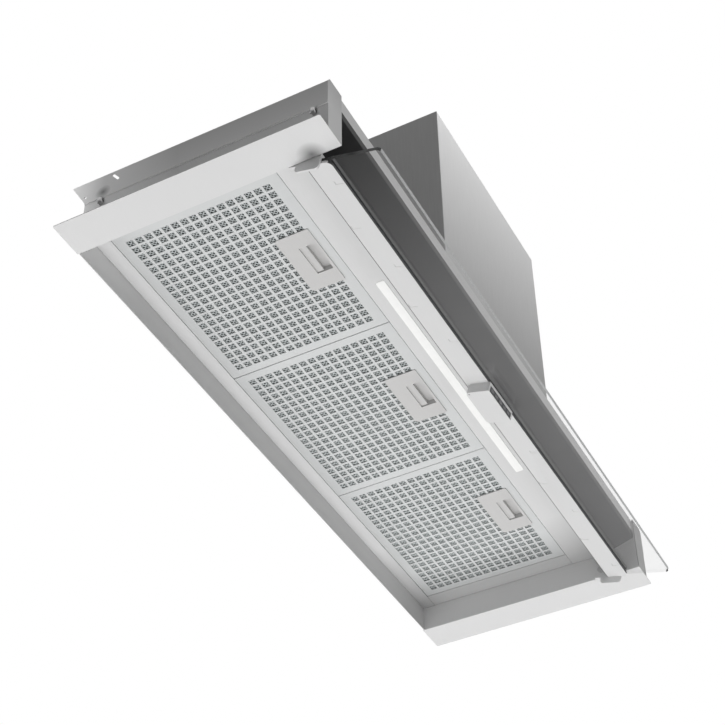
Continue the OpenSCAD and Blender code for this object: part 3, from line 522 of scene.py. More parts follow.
def diffuser_finish(name, spots, reach, middle, half):
    """Milky strip, a little brighter over each lamp behind it and darker along its sides."""
    made = Finish(name)
    x, y, _ = made.spot()
    wave = (x * (math.tau * spots / reach)).cosine()
    rim = (y - middle).size().over(half)
    glow = made.blend(wave * 0.5 + 0.5, (0.93, 0.93, 0.92, 1), (1, 1, 0.99, 1))
    glow = made.blend(rim, glow, (0.1, 0.1, 0.1, 1))
    skin = made.blend(made.noise((60, 60, 60)), (0.74, 0.74, 0.73, 1), (0.78, 0.78, 0.77, 1))
    return made.close(made.principled({
        "Base Color": made.blend(rim, skin, (0.45, 0.45, 0.45, 1)),
        "Roughness": made.noise((500, 500, 500)) * 0.1 + 0.35,
        "Emission Color": glow,
        "Emission Strength": 0.12,
    }))


def clear_finish(name, tint, veil, mirrored, reach):
    """Clear toughened glass: a thin scattering film paints the pane's reflection of the bright room, and a little
    light is really mirrored.

    Reach is the pane's left and right end, between which the film gets thicker."""
    made = Finish(name)
    smear = made.noise((12, 30, 12))
    # Scattering film: painted reflection of the bright room.
    reflection_veil = made.principled({
        "Base Color": made.blend(smear, scaled(tint, 0.96), tuple(tint)),
        "Roughness": smear * 0.2 + 0.6,
    })
    mirror = made.principled({
        "Base Color": tuple(tint),
        "Metallic": 1.0,
        "Roughness": smear * 0.02 + 0.01,
    })
    open_air = made.node("ShaderNodeBsdfTransparent", {"Color": tuple(tint)})
    both = veil + mirrored
    face = made.mixed(mirrored / both, reflection_veil, mirror)
    low, high = reach
    x, _, _ = made.spot()
    across = (x - low) / (high - low)
    film = (across * 2.2 + 0.3).least(1.04) * both
    return made.close(made.mixed(film, open_air, face))


def edge_finish(name, tint):
    """Ground edge of the pane, where the glass is seen along its length."""
    made = Finish(name)
    frost = made.noise((700, 700, 700), 2.0)
    return made.close(made.principled({
        "Base Color": made.blend(frost, scaled(tint, 0.9), scaled(tint, 1.1)),
        "Roughness": frost * 0.15 + 0.2,
        "Normal": made.bump(frost, 0.05, 0.1 * MM),
    }))


finishes = {}


def use_finish(thing, material):
    """Gives every face of a CAD node or a piece one material."""
    if not thing.material_slots:
        thing.data.materials.append(material)
    for slot in thing.material_slots:
        slot.link = "OBJECT"
        slot.material = material


def add_object(name, data):
    made = bpy.data.objects.new(name, data)
    bpy.context.scene.collection.objects.link(made)
    return made


def add_piece(name, mesh, node):
    """Links a finished mesh that stands for a CAD node and rides on its body."""
    piece = add_object(name, mesh)
    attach(piece, body_of_node[node])
    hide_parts(node)
    return piece


def baked(holder):
    """The plain mesh that an object's modifiers make. The object goes."""
    bpy.context.view_layer.update()
    made = bpy.data.meshes.new_from_object(
        holder.evaluated_get(bpy.context.evaluated_depsgraph_get())
    )
    holder.modifiers.clear()
    bpy.data.objects.remove(holder)
    return made


WELD = 0.002 * MM  # corners that lie nearer than this are one
LEVEL = math.radians(0.5)  # neighbours that turn less than this become one face
FOLD = math.radians(40)  # edges that turn more than this are rounded
SOFT = math.radians(32)  # edges that turn less than this are shaded smooth
BROAD = 2.2 * MM / 2  # faces wider than this are sheet, narrower ones are its cut edge
INNER = 0.35  # inner radius of a fold as a share of the outer one


def merged(node):
    """A bmesh of a CAD node with its doubled corners made one."""
    shape = bmesh.new()
    shape.from_mesh(nodes[node].data)
    bmesh.ops.remove_doubles(shape, verts=shape.verts, dist=WELD)
    return shape


def rounded_copy(node, bend, cut):
    """A copy of a node whose folds get the bend radius and whose cut edges a small one."""
    shape = merged(node)
    bmesh.ops.dissolve_limit(shape, angle_limit=LEVEL, verts=shape.verts, edges=shape.edges)
    weight = shape.edges.layers.float.new("bevel_weight_edge")
    width = {
        face: 2 * face.calc_area() / max(sum(e.calc_length() for e in face.edges), 1e-9)
        for face in shape.faces
    }
    for edge in shape.edges:
        if len(edge.link_faces) != 2 or edge.calc_length() < 3 * cut:
            continue
        if edge.calc_face_angle(0.0) < FOLD:
            continue
        broad = min(width[face] for face in edge.link_faces) > BROAD
        if broad and edge.calc_length() > 4 * bend:
            edge[weight] = 1.0 if edge.is_convex else INNER
        else:
            edge[weight] = cut / bend
    mesh = bpy.data.meshes.new("flat")
    shape.to_mesh(mesh)
    shape.free()
    mesh.polygons.foreach_set("use_smooth", [True] * len(mesh.polygons))
    mesh.set_sharp_from_angle(angle=SOFT)
    holder = add_object("holder", mesh)
    bevel = holder.modifiers.new("Folds", "BEVEL")
    bevel.width = bend
    bevel.segments = 3
    bevel.limit_method = "WEIGHT"
    bevel.use_clamp_overlap = True
    bevel.harden_normals = True
    made = baked(holder)
    bpy.data.meshes.remove(mesh)
    made.name = node + "_formed"
    made.materials.clear()
    return made


def add_formed(node, bend, cut, finish=None, ending="_formed"):
    """Adds the rounded copy of a node as its piece."""
    piece = add_piece(node + ending, rounded_copy(node, bend, cut), node)
    if finish:
        use_finish(piece, finishes[finish])
    return piece


def finish_some(mesh, finish, chosen):
    """Gives a second finish to the faces that chosen picks."""
    mesh.materials.append(finishes[finish])
    for face in mesh.polygons:
        face.material_index = 1 if chosen(face) else 0


def slabs(name, boxes):
    """Closed boxes, each given by its lowest and highest corner."""
    shape = bmesh.new()
    for low, high in boxes:
        low, high = Vector(low), Vector(high)
        size = high - low
        place = Matrix.Translation((low + high) / 2) @ Matrix.Diagonal((*size, 1))
        bmesh.ops.create_cube(shape, size=1, matrix=place)
    mesh = bpy.data.meshes.new(name)
    shape.to_mesh(mesh)
    shape.free()
    return mesh


# Geometry rules


class Rule(Net):
    """A geometry node tree with named inputs that ends in real mesh with one material."""

    def __init__(self, name, inputs):
        super().__init__(bpy.data.node_groups.new(name, "GeometryNodeTree"))
        panel = self.tree.interface
        panel.new_socket("Geometry", in_out="INPUT", socket_type="NodeSocketGeometry")
        self.key = {}
        for label, value in inputs.items():
            socket = panel.new_socket(label, in_out="INPUT", socket_type="NodeSocketFloat")
            socket.default_value = value
            self.key[label] = socket.identifier
        panel.new_socket("Geometry", in_out="OUTPUT", socket_type="NodeSocketGeometry")
        self.entry = self.outputs_of(self.node("NodeGroupInput"))

    def __getitem__(self, label):
        return self.entry[label]

    def vector(self, x=0.0, y=0.0, z=0.0):
        return self.node("ShaderNodeCombineXYZ", {0: x, 1: y, 2: z})

    def box(self, x, y, z):
        return self.node("GeometryNodeMeshCube", {"Size": self.vector(x, y, z)})

    def moved(self, geometry, x=0.0, y=0.0, z=0.0, turn=(0, 0, 0)):
        return self.node(
            "GeometryNodeTransform",
            {"Geometry": geometry, "Translation": self.vector(x, y, z), "Rotation": turn},
        )

    def gathered(self, made, label, parts):
        """A node with many parts plugged into one input."""
        for part in parts:
            self.tree.links.new(part.socket, made.socket.node.inputs[label])
        return made

    def joined(self, *parts):
        return self.gathered(self.node("GeometryNodeJoinGeometry"), "Geometry", parts)

    def united(self, *parts):
        made = self.node("GeometryNodeMeshBoolean", operation="UNION")
        return self.gathered(made, "Mesh 2", parts)

    def close(self, geometry, material):
        real = self.node("GeometryNodeRealizeInstances", {"Geometry": geometry})
        named = self.node("GeometryNodeSetMaterial", {"Geometry": real, "Material": material})
        self.node("NodeGroupOutput", {"Geometry": named})

    def mesh(self, name, start, values):
        """The tree's result on a starting mesh, as a plain mesh."""
        holder = add_object("holder", start)
        rule = holder.modifiers.new("Rule", "NODES")
        rule.node_group = self.tree
        for label, value in values.items():
            rule[self.key[label]] = value
        made = baked(holder)
        made.name = name
        return made


def islands(node, turn=Matrix.Identity(3)):
    """The points of each separate solid of a CAD node, turned by the inverse of turn."""
    shape = merged(node)
    back = turn.inverted()
    seen, found = set(), []
    for start in shape.verts:
        if start in seen:
            continue
        group, waiting = [], [start]
        seen.add(start)
        while waiting:
            here = waiting.pop()
            group.append(back @ here.co)
            for edge in here.link_edges:
                there = edge.other_vert(here)
                if there not in seen:
                    seen.add(there)
                    waiting.append(there)
        found.append(group)
    shape.free()
    return found


NEAR_RIM, NEAR_AXIS = 0.9, 0.2  # shares of a screw head's radius


def screw_places(node, turn=Matrix.Identity(3)):
    """For each screw: the middle of the head's seat, the way the head points, and its sizes."""
    places = []
    for points in islands(node, turn):
        low = Vector([min(p[k] for p in points) for k in range(3)])
        high = Vector([max(p[k] for p in points) for k in range(3)])
        size, middle = high - low, (high + low) / 2
        pairs = [(abs(size[a] - size[b]), 3 - a - b) for a, b in ((0, 1), (1, 2), (0, 2))]
        axis = min(pairs)[1]
        others = [k for k in range(3) if k != axis]
        reach = [math.hypot(*(p[k] - middle[k] for k in others)) for p in points]
        head_r = max(reach)
        head = [p[axis] for p, r in zip(points, reach) if r > NEAR_RIM * head_r]
        shank_r = min(r for r in reach if r > NEAR_AXIS * head_r)
        up = 1.0 if high[axis] - max(head) < min(head) - low[axis] else -1.0
        seat = Vector(middle)
        seat[axis] = min(head) if up > 0 else max(head)
        aim = Vector((0, 0, 0))
        aim[axis] = up
        places.append({
            "seat": turn @ seat, "aim": turn @ aim, "head_r": head_r,
            "head_h": max(head) - min(head), "shank_r": shank_r,
            "shank_l": size[axis] - (max(head) - min(head)),
        })
    return places


def points_mesh(spots, aims):
    """Bare points that carry the direction of each screw."""
    mesh = bpy.data.meshes.new("spots")
    mesh.from_pydata([tuple(s) for s in spots], [], [])
    layer = mesh.attributes.new("aim", "FLOAT_VECTOR", "POINT")
    layer.data.foreach_set("vector", [c for aim in aims for c in aim])
    return mesh


HEAD_TIERS = (  # foot and top of each tier in height, then in radius, as shares of the head
    (0.0, 0.55, 1.0, 1.0),
    (0.55, 0.84, 1.0, 0.9),
    (0.84, 1.0, 0.9, 0.68),
)


def screw_rule(material):
    """Screws with a domed head and a cross recess, set on points."""
    rule = Rule("Screws on points", {
        "Head radius": 3.4 * MM, "Head height": 2 * MM, "Shank radius": 1.6 * MM,
        "Shank length": 4 * MM, "Recess width": 0.9 * MM, "Recess length": 4 * MM,
        "Recess depth": 1.2 * MM,
    })
    radius, height = rule["Head radius"], rule["Head height"]
    tiers = []
    for low, high, foot, top in HEAD_TIERS:
        tier = rule.node("GeometryNodeMeshCone", {
            "Vertices": 28, "Side Segments": 1, "Radius Top": radius * top,
            "Radius Bottom": radius * foot, "Depth": height * (high - low),
        }, fill_type="NGON")
        tiers.append(rule.moved(tier, z=height * low))
    arms = []
    for turn in (0.0, math.pi / 2):
        arm = rule.box(rule["Recess length"], rule["Recess width"], rule["Recess depth"] * 2.0)
        arms.append(rule.moved(arm, z=height, turn=(0, 0, turn)))
    cut = rule.node(
        "GeometryNodeMeshBoolean", {0: rule.united(*tiers), 1: rule.united(*arms)},
        operation="DIFFERENCE",
    )
    shank_radius, shank_length = rule["Shank radius"], rule["Shank length"]
    shank = rule.node("GeometryNodeMeshCone", {
        "Vertices": 20, "Radius Top": shank_radius,
        "Radius Bottom": shank_radius * 0.8, "Depth": shank_length,
    }, fill_type="NGON")
    screw = rule.joined(cut, rule.moved(shank, z=shank_length * -1.0))
    aim = rule.node(
        "GeometryNodeInputNamedAttribute", {"Name": "aim"}, data_type="FLOAT_VECTOR"
    )
    turned = rule.node("FunctionNodeAlignRotationToVector", {"Vector": aim}, axis="Z")
    points = rule.node("GeometryNodeMeshToPoints", {"Mesh": rule["Geometry"]})
    placed = rule.node(
        "GeometryNodeInstanceOnPoints",
        {"Points": points, "Instance": screw, "Rotation": turned},
    )
    rule.close(placed, material)
    return rule


def weave_rule(material):
    """Two crossed layers of wires at 45 degrees, left open round the latch."""
    rule = Rule("Woven mesh", {
        "Middle X": 0.0, "Middle Y": 0.0, "Width": 0.24, "Depth": 0.19, "Height": 0.035,
        "Pitch": 3 * MM, "Wire": 0.8 * MM, "Window": 0.024, "Window end": 0.14,
    })
    pitch, wire = rule["Pitch"], rule["Wire"]
    tile = []  # one wire of each layer, the second raised by a share of its thickness
    for turn, lift in ((math.pi / 4, 0.0), (-math.pi / 4, 0.45)):
        rod = rule.node("GeometryNodeMeshCylinder", {
            "Vertices": 4, "Radius": wire * 0.5, "Depth": pitch * math.sqrt(2),
        }, fill_type="NONE")
        rod = rule.moved(rod, turn=(math.pi / 2, 0, 0))
        tile.append(rule.moved(rod, z=wire * lift, turn=(0, 0, turn)))
    columns = (rule["Width"] / pitch).floor()
    rows = (rule["Depth"] / pitch).floor()
    grid = rule.node("GeometryNodeMeshGrid", {
        "Size X": (columns - 1.0) * pitch, "Size Y": (rows - 1.0) * pitch,
        "Vertices X": columns, "Vertices Y": rows,
    })
    placed = rule.moved(grid, rule["Middle X"], rule["Middle Y"], rule["Height"])
    x, y, _ = rule.split(rule.node("GeometryNodeInputPosition"))
    beside = (x - rule["Middle X"]).size().under(rule["Window"])
    before = y.under(rule["Window end"])
    kept = rule.node(
        "GeometryNodeDeleteGeometry", {"Geometry": placed, "Selection": beside * before},
        domain="POINT",
    )
    woven = rule.node(
        "GeometryNodeInstanceOnPoints", {"Points": kept, "Instance": rule.joined(*tile)}
    )
    rule.close(woven, material)
    return rule


# Operators, one for each group of pieces


GRAIN_ACROSS = (30, 1100, 1100)  # brushed from side to side
GRAIN_DEEP = (900, 24, 900)  # brushed from front to back
SHEETS = {
    "panel": ("front_panel",),
    "ledge": ("rear_ledge",),
    "canopy": ("canopy_tray",),
    "stainless": ("plenum_cover", "front_rail"),
    "stainless_dark": ("filler_left", "filler_right"),
    "galvanized": ("filter_rail_left", "filter_rail_right"),
    "black_sheet": ("slot_baffle",),
    "bracket_left": ("side_bracket_left",),
    "bracket_right": ("side_bracket_right",),
    "housing": ("housing_wrap", "housing_top"),
}


def steel_finish(look, name, share=1.0, grain=GRAIN_ACROSS, painted_fades=(), painted_shades=()):
    """Brushed steel in a share of its own colour."""
    tint = scaled(look.steel, share)
    return metal_finish(name, tint, look.shine, 0.42, grain, 0.07, painted_fades=painted_fades, painted_shades=painted_shades)


def mix_bracket_finishes(look):
    """The left bracket gets painted shade above its fold, a painted shadow at its rear screw and painted light
    towards its tail, which is also more metallic; its fold gets a painted highlight and the right bracket painted
    shade.
    """
    low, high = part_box("side_bracket_left")
    # Middle of the painted shadow at the rear screw.
    screw_shadow_spot = Vector((low.x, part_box("fixing_screws")[1].y - 4 * MM, 44 * MM))
    finishes["bracket_left"] = steel_finish(
        look, "Left bracket steel", 0.98, GRAIN_DEEP,
        painted_fades=(
            (UP, 38 * MM, 70 * MM, 0.8),
            (BACK, high.y - 130 * MM, high.y - 50 * MM, 1.6),
            (BACK, high.y - 42 * MM, high.y, 2.1, 0.4),
        ),
        painted_shades=((screw_shadow_spot, 10 * MM, 0.4),),
    )
    # A lighter copy of the steel, painted highlight on the fold, and a darker copy, painted shade on the right
    # bracket.
    finishes["bracket_fold"] = steel_finish(look, "Bracket fold", 2.1, GRAIN_DEEP)
    finishes["bracket_right"] = steel_finish(look, "Right bracket steel", 0.47, GRAIN_DEEP)


def mix_canopy_finishes(look):
    """The sheets get painted shade towards the right (the rear wall keeps painted light only at its left end), and
    the flange a painted shadow in its left front corner.
    """
    low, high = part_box("canopy_tray")
    # Middle of the painted shadow on the flange.
    corner_shadow_spot = Vector((low.x + 40 * MM, low.y + 31 * MM, 0))
    finishes["canopy"] = steel_finish(
        look, "Canopy steel", painted_shades=((corner_shadow_spot, 16 * MM, 0.3),)
    )
    finishes["rear_wall"] = steel_finish(
        look, "Rear wall steel", 1.08,
        painted_fades=((RIGHT, low.x, low.x * 0.65, 0.76), (RIGHT, high.x - 150 * MM, high.x, 0.62)),
    )
    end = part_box("front_panel")[1].x
    finishes["panel"] = steel_finish(
        look, "Panel steel", painted_fades=((RIGHT, end - 110 * MM, end - 10 * MM, 0.55),)
    )
    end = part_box("rear_ledge")[1].x
    finishes["ledge"] = steel_finish(
        look, "Ledge steel", 1.08, painted_fades=((RIGHT, end - 150 * MM, end, 0.42),)
    )


class HOOD_OT_sheet(bpy.types.Operator):
    """Form the folded sheets of the canopy, brackets and housing and give them their steel"""

    bl_idname = "hood.sheet"
    bl_label = "Form the sheets"

    def execute(self, context):
        look = context.scene.hood_sheet
        finishes["stainless"] = steel_finish(look, "Brushed steel")
        # The fillers get the darker copy of the steel, painted shade.
        finishes["stainless_dark"] = metal_finish(
            "Plain steel", look.steel_shaded, look.shine, 0.45, GRAIN_ACROSS, 0.05)
        finishes["galvanized"] = zinc_finish("Galvanized sheet", look.zinc, look.shine)
        # Painted light: the black sheet gets lighter towards its right end.
        low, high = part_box("slot_baffle")
        finishes["black_sheet"] = metal_finish(
            "Black lacquered sheet", (0.01, 0.01, 0.0103, 1), 0.0, 0.65, (300, 300, 300), 0.04,
            painted_fades=((RIGHT, low.x, high.x, 6.8),))
        # The housing gets a lit and a shaded copy of the steel: painted light and shade.
        finishes["housing"] = shaded_finish(
            "Housing steel", scaled(look.steel, 1.5), scaled(look.steel, 0.4), look.shine, 0.4,
            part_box("housing_wrap"))
        mix_bracket_finishes(look)
        mix_canopy_finishes(look)
        made = {
            node: add_formed(node, look.bend, look.cut, finish).data
            for finish, members in SHEETS.items() for node in members
        }
        # The rear wall's faces get its painted light and shade.
        finish_some(made["canopy_tray"], "rear_wall", lambda face: face.normal.y < -0.7)
        # The faces under the left bracket's fold get the painted highlight.
        finish_some(
            made["side_bracket_left"], "bracket_fold",
            lambda face: face.normal.z < -0.3 and 4 * MM < face.center.z < 60 * MM,
        )
        return {"FINISHED"}


def visor_lean():
    """The turn of the open visor's pieces against level ones."""
    tilt = next(j for j in frame["joints"] if j["name"] == "visor_tilt")
    return Matrix.Rotation(math.radians(tilt["range_deg"][1]), 3, "X")


class HOOD_OT_screws(bpy.types.Operator):
    """Set domed screws with a cross recess wherever the model has a screw"""

    bl_idname = "hood.screws"
    bl_label = "Set the screws"

    def execute(self, context):
        look = context.scene.hood_screws
        finishes["screw_steel"] = metal_finish(
            "Screw steel", (0.5, 0.5, 0.5, 1), 0.7, 0.32, (400, 400, 400), 0.03)
        rule = screw_rule(finishes["screw_steel"])
        for node in ("cover_screws", "fixing_screws", "housing_screws", "visor_screws"):
            turn = visor_lean() if node == "visor_screws" else Matrix.Identity(3)
            screws = screw_places(node, turn)
            first = screws[0]
            radius, height = first["head_r"], first["head_h"]
            start = points_mesh([s["seat"] for s in screws], [s["aim"] for s in screws])
            mesh = rule.mesh(node + "_cut", start, {
                "Head radius": radius, "Head height": height,
                "Shank radius": first["shank_r"], "Shank length": first["shank_l"],
                "Recess width": radius * look.recess_width,
                "Recess length": 2 * radius * look.recess_length,
                "Recess depth": height * look.recess_depth,
            })
            add_piece(node + "_cut", mesh, node)
        use_finish(nodes["pivot_pins"], finishes["screw_steel"])
        return {"FINISHED"}


LATCH_ROOM = 24 * MM  # the mesh leaves this much open on both sides of a latch's middle
LATCH_REACH = 38 * MM  # and this much behind the front of its plate


class HOOD_OT_filters(bpy.types.Operator):
    """Press the perforated filters, weave their mesh and form their latches"""

    bl_idname = "hood.filters"
    bl_label = "Make the filters"

    def execute(self, context):
        look = context.scene.hood_filters
        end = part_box("filter_frame_3")[1].x
        # Painted shade: the filter sheet and its mesh get darker towards the right end.
        right_end_shade = ((RIGHT, end - 60 * MM, end, 0.64),)
        finishes["filter_aluminium"] = metal_finish(
            "Filter aluminium", look.sheet, 0.1, 0.45, (1100, 30, 1100), 0.05,
            painted_fades=right_end_shade)
        finishes["mesh_aluminium"] = metal_finish(
            "Mesh aluminium", look.weave, 0.3, 0.45, (300, 300, 300), 0.05,
            painted_fades=right_end_shade)
        finishes["latch_metal"] = metal_finish(
            "Latch metal", look.latch, 0.1, 0.5, (40, 900, 900), 0.04)
        finishes["mesh_depth"] = metal_finish(
            "Mesh layers in shadow", look.depth, 0.3, 0.6, (500, 500, 500), 0.2, spread=0.4)
        rule = weave_rule(finishes["mesh_aluminium"])
        blank = bpy.data.meshes.new("blank")
        for i in (1, 2, 3):
            add_formed(f"filter_frame_{i}", 0.6 * MM, look.rim, "filter_aluminium", "_pressed")
            low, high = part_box(f"filter_mesh_{i}")
            middle = (low.x + high.x) / 2
            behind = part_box(f"latch_plate_{i}")[0].y + LATCH_REACH
            mesh = rule.mesh(f"filter_mesh_{i}_woven", blank, {
                "Middle X": middle, "Middle Y": (low.y + high.y) / 2,
                "Width": high.x - low.x, "Depth": high.y - low.y, "Height": (low.z + high.z) / 2,
                "Pitch": look.pitch, "Wire": look.wire,
                "Window": LATCH_ROOM, "Window end": behind,
            })
            add_piece(f"filter_mesh_{i}_woven", mesh, f"filter_mesh_{i}")
            # A dark slab behind the woven mesh stands for the deeper mesh layers, painted in shadow.
            foot, top = high.z - 0.15 * MM, high.z
            depth = slabs(f"filter_mesh_{i}_depth", (
                ((low.x, behind, foot), (high.x, high.y, top)),
                ((low.x, low.y, foot), (middle - LATCH_ROOM, behind, top)),
                ((middle + LATCH_ROOM, low.y, foot), (high.x, behind, top)),
            ))
            piece = add_piece(f"filter_mesh_{i}_depth", depth, f"filter_mesh_{i}")
            use_finish(piece, finishes["mesh_depth"])
            for node in (f"latch_plate_{i}", f"latch_slider_{i}"):
                add_formed(node, 0.4 * MM, 0.15 * MM, "latch_metal")
        return {"FINISHED"}


class HOOD_OT_visor(bpy.types.Operator):
    """Grind the glass pane and form the profile, end caps, handle and buttons"""

    bl_idname = "hood.visor"
    bl_label = "Make the visor"

    def execute(self, context):
        look = context.scene.hood_visor
        finishes["glass"] = clear_finish(
            "Clear glass", look.tint, look.veil, look.mirrored,
            [corner.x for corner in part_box("glass_pane")])
        finishes["glass_edge"] = edge_finish("Ground glass edge", look.edge)
        finishes["glass_dark"] = edge_finish("Dark glass edge", look.edge_shade)
        anodised = (look.profile, 0.12, 0.42, (30, 1000, 1000), 0.05)
        finishes["visor_aluminium"] = metal_finish("Anodised aluminium", *anodised)
        finishes["aluminium_channel"] = metal_finish(
            "Channel aluminium", (0.6, 0.61, 0.62, 1), 0.5, 0.4, (20, 900, 900), 0.05)
        finishes["black_plastic"] = plastic_finish("Black plastic", (0.035, 0.035, 0.038, 1), 0.5)
        finishes["grey_plastic"] = plastic_finish("Grey plastic", (0.3, 0.3, 0.31, 1), 0.5)
        finishes["bush_plastic"] = plastic_finish("Bush plastic", (0.7, 0.7, 0.68, 1), 0.45)
        finishes["button_plastic"] = plastic_finish(
            "Button plastic", look.button, 0.28, 0.02, 0.4)
        finishes["circuit_board"] = board_finish("Circuit board", (0.03, 0.2, 0.08, 1))
        pane = add_formed("glass_pane", look.arris, 0.1 * MM, ending="_ground").data
        for finish in ("glass", "glass_edge", "glass_dark"):
            pane.materials.append(finishes[finish])
        lean = visor_lean()
        up, ahead = lean @ Vector(UP), lean @ -Vector(BACK)
        # Flat faces and the right end are clear, the front edge light grey, the rest near-black: painted shade of
        # the glass edges.
        for face in pane.polygons:
            if abs(face.normal.dot(up)) > 0.98 or face.normal.x > 0.98:
                face.material_index = 0
            else:
                face.material_index = 1 if face.normal.dot(ahead) > 0.9 else 2
        for node in ("visor_profile", "handle", "end_cap_left", "end_cap_right"):
            mesh = add_formed(node, 0.5 * MM, 0.15 * MM).data
            mesh.materials.append(finishes["visor_aluminium"])
            if node == "visor_profile":
                # Painted shade: a dark line along the rear edge of the profile.
                lip = max(-ahead.dot(v.co) for v in mesh.vertices) - look.lip
                mesh.materials[0] = metal_finish(
                    "Profile aluminium", *anodised,
                    painted_fades=((tuple(-ahead), lip, lip + 0.02 * MM, 0.22),))
                # The profile's front faces get black: painted shade along its front edge.
                finish_some(mesh, "black_plastic", lambda face: face.normal.dot(ahead) > 0.5)
        for node, slot in slot_of_node.items():
            if node in ("control_fascia", "clamp_bar") or node.startswith("button_"):
                # The clamp bar is made black, painted shade: with the profile's black front it gives the dark band
                # of shadow along the front edge.
                finish = "black_plastic" if node == "clamp_bar" else slot
                add_formed(node, 0.35 * MM, 0.15 * MM, finish)
        use_finish(nodes["pivot_bushes"], finishes["bush_plastic"])
        use_finish(nodes["control_board"], finishes["circuit_board"])
        return {"FINISHED"}


class HOOD_OT_light(bpy.types.Operator):
    """Finish the light strip and its channel"""

    bl_idname = "hood.light"
    bl_label = "Make the light"

    def execute(self, context):
        low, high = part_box("led_diffuser")
        finishes["diffuser"] = diffuser_finish(
            "Milky diffuser", 30, high.x - low.x,
            (low.y + high.y) / 2, (high.y - low.y) / 2 - 0.8 * MM)
        add_formed("led_diffuser", 0.3 * MM, 0.1 * MM, "diffuser")
        add_formed("led_channel", 0.4 * MM, 0.12 * MM, "aluminium_channel")
        use_finish(nodes["led_board"], finishes["circuit_board"])
        return {"FINISHED"}


class HOOD_OT_blower(bpy.types.Operator):
    """Finish the blower, the duct collar, its flaps and the electronics case"""

    bl_idname = "hood.blower"
    bl_label = "Make the blower"

    def execute(self, context):
        look = context.scene.hood_fan
        finishes["motor_metal"] = cast_finish("Motor casting", look.motor)
        finishes["shaft_steel"] = metal_finish(
            "Ground shaft", (0.6, 0.6, 0.6, 1), 0.8, 0.25, (20, 900, 900), 0.02)
        finishes["fan_sheet"] = metal_finish(
            "Fan sheet", look.fan, 0.5, 0.4, (30, 600, 600), 0.05)
        members = (
            "blower_scroll", "inlet_rings", "motor_bracket", "motor_body", "rotor_shaft",
            "impeller", "duct_collar", "flap_front", "flap_rear", "cable_gland",
        )
        for node in members:
            use_finish(nodes[node], finishes[slot_of_node[node]])
        for node in ("power_module", "module_lid"):
            add_formed(node, 1.2 * MM, 0.3 * MM, slot_of_node[node])
        return {"FINISHED"}


FLOOR_HALF = 14.0  # metres from the middle of the floor to its sides
LAMPS = (  # name, place, side of its square and the property with its power
    ("lower_lamp", (0, 0.1, -2.1), 1.8, "below"),
    ("front_lamp", (0, -1.7, -1.5), 1.5, "front"),
    ("left_lamp", (-1.8, 0.1, -1.4), 1.5, "left"),
    ("right_lamp", (1.8, 0.1, -1.4), 1.5, "right"),
    ("rear_lamp", (0, 1.9, -1.4), 1.5, "rear"),
    ("upper_lamp", (0, 0.1, 2.4), 1.8, "above"),
)
LAMP_TARGET = Vector((0, 0.15, 0.05))
CAMERA_PLACE = (-1.36505, -0.51188, -1.26032)
CAMERA_TURNS = (41.89, -62.83, -0.93)  # degrees that it looks up, turns and rolls


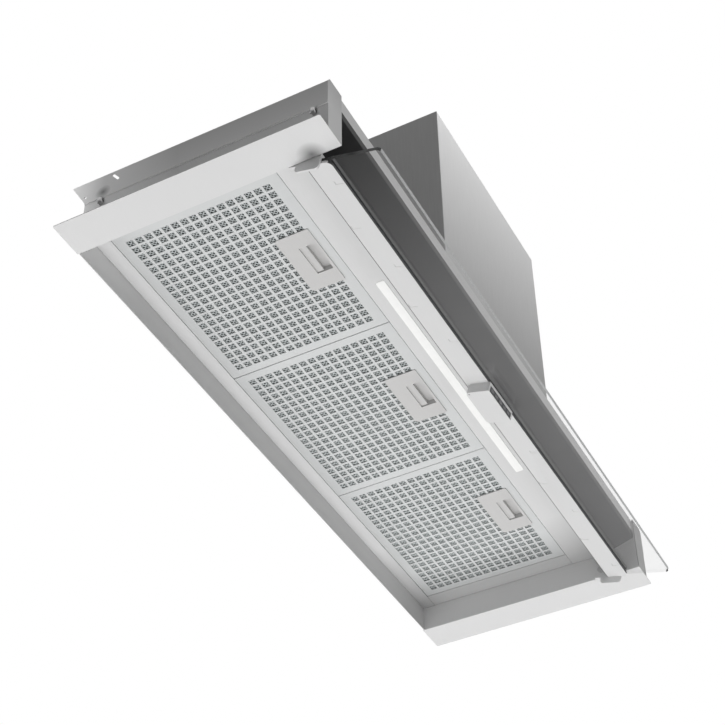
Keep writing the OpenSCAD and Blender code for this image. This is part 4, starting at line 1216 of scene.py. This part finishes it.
class HOOD_OT_stage(bpy.types.Operator):
    """Set the floor, the soft lamps, the room light and the camera"""

    bl_idname = "hood.stage"
    bl_label = "Set the stage"

    def execute(self, context):
        look = context.scene.hood_studio
        self.set_floor(look)
        self.set_room(context.scene, look)
        self.set_lamps(look)
        self.set_camera(context.scene, look)
        return {"FINISHED"}

    def set_floor(self, look):
        mesh = bpy.data.meshes.new("studio_floor")
        corners = ((-1, -1), (1, -1), (1, 1), (-1, 1))
        mesh.from_pydata(
            [(x * FLOOR_HALF, y * FLOOR_HALF, -look.floor_drop) for x, y in corners],
            [], [(0, 1, 2, 3)],
        )
        floor = add_object("studio_floor", mesh)
        made = Finish("Studio floor")
        tone = made.blend(made.noise((2, 2, 2)), scaled(look.floor, 0.98), tuple(look.floor))
        matt = made.principled({"Base Color": tone, "Roughness": 0.9})
        glow = made.node("ShaderNodeEmission", {"Color": tone, "Strength": 1.0})
        seen = made.node("ShaderNodeLightPath", output="Is Camera Ray")
        mesh.materials.append(made.close(made.mixed(seen * look.floor_shown, matt, glow)))

    def set_room(self, scene, look):
        """The camera, mirrors and glass see the backdrop, other surfaces only the room light."""
        scene.world = room = bpy.data.worlds.new("Studio room")
        room.use_nodes = True
        net = Net(room.node_tree)
        net.tree.nodes.clear()
        rays = net.outputs_of(net.node("ShaderNodeLightPath"))
        seen = rays["Is Camera Ray"].most(rays["Is Glossy Ray"]).most(rays["Is Transmission Ray"])
        even = (look.ambient, look.ambient, look.ambient, 1)
        lit, shown = (
            net.node("ShaderNodeBackground", {"Color": tone, "Strength": 1.0})
            for tone in (even, tuple(look.backdrop))
        )
        net.node("ShaderNodeOutputWorld", {"Surface": net.mixed(seen, lit, shown)})

    def set_lamps(self, look):
        for name, place, size, power in LAMPS:
            lamp = bpy.data.lights.new(name, "AREA")
            lamp.shape = "SQUARE"
            lamp.size = size
            lamp.energy = getattr(look, power)
            holder = add_object(name, lamp)
            holder.location = place
            holder.rotation_mode = "QUATERNION"
            holder.rotation_quaternion = (LAMP_TARGET - Vector(place)).to_track_quat("-Z", "Y")
            holder.visible_camera = False
            holder.visible_glossy = False

    def set_camera(self, scene, look):
        """The camera stands and looks as in the photograph."""
        camera = add_object("camera", bpy.data.cameras.new("camera"))
        camera.data.sensor_width = 36
        camera.data.lens = look.focal
        camera.data.clip_start, camera.data.clip_end = 0.05, 60
        climb, swing, roll = (math.radians(turn) for turn in CAMERA_TURNS)
        ahead = Vector((
            -math.sin(swing) * math.cos(climb), math.cos(swing) * math.cos(climb), math.sin(climb)
        ))
        side = Vector((math.cos(swing), math.sin(swing), 0))
        top = side.cross(ahead)
        right = side * math.cos(roll) + top * math.sin(roll)
        above = top * math.cos(roll) - side * math.sin(roll)
        turn = Matrix((right, above, -ahead)).transposed().to_4x4()
        camera.matrix_world = Matrix.Translation(CAMERA_PLACE) @ turn
        scene.camera = camera
        scene.view_settings.view_transform = "Standard"


class HOOD_PT_panel(bpy.types.Panel):
    """Sizes, colours and steps of the range hood"""

    bl_idname = "HOOD_PT_panel"
    bl_label = "Range hood"
    bl_space_type = "VIEW_3D"
    bl_region_type = "UI"
    bl_category = "Hood"

    def draw(self, context):
        for group, steps in STEPS.items():
            box = self.layout.box()
            look = getattr(context.scene, group)
            for key in look.bl_rna.properties.keys():
                if key not in ("rna_type", "name"):
                    box.prop(look, key)
            for step in steps:
                box.operator(step.bl_idname)


GROUPS = {
    "hood_sheet": HoodSheet, "hood_filters": HoodFilters, "hood_visor": HoodVisor,
    "hood_screws": HoodScrews, "hood_fan": HoodFan, "hood_studio": HoodStudio,
}
STEPS = {
    "hood_sheet": (HOOD_OT_sheet,),
    "hood_screws": (HOOD_OT_screws,),
    "hood_filters": (HOOD_OT_filters,),
    "hood_visor": (HOOD_OT_visor, HOOD_OT_light),
    "hood_fan": (HOOD_OT_blower,),
    "hood_studio": (HOOD_OT_stage,),
}


def register():
    for group, kind in GROUPS.items():
        bpy.utils.register_class(kind)
        setattr(bpy.types.Scene, group, bpy.props.PointerProperty(type=kind))
    for steps in STEPS.values():
        for step in steps:
            bpy.utils.register_class(step)
    bpy.utils.register_class(HOOD_PT_panel)


def unregister():
    bpy.utils.unregister_class(HOOD_PT_panel)
    for steps in STEPS.values():
        for step in steps:
            bpy.utils.unregister_class(step)
    for group, kind in GROUPS.items():
        delattr(bpy.types.Scene, group)
        bpy.utils.unregister_class(kind)


def main():
    register()
    for steps in STEPS.values():
        for step in steps:
            part, name = step.bl_idname.split(".")
            getattr(getattr(bpy.ops, part), name)()


if __name__ == "__main__":
    main()
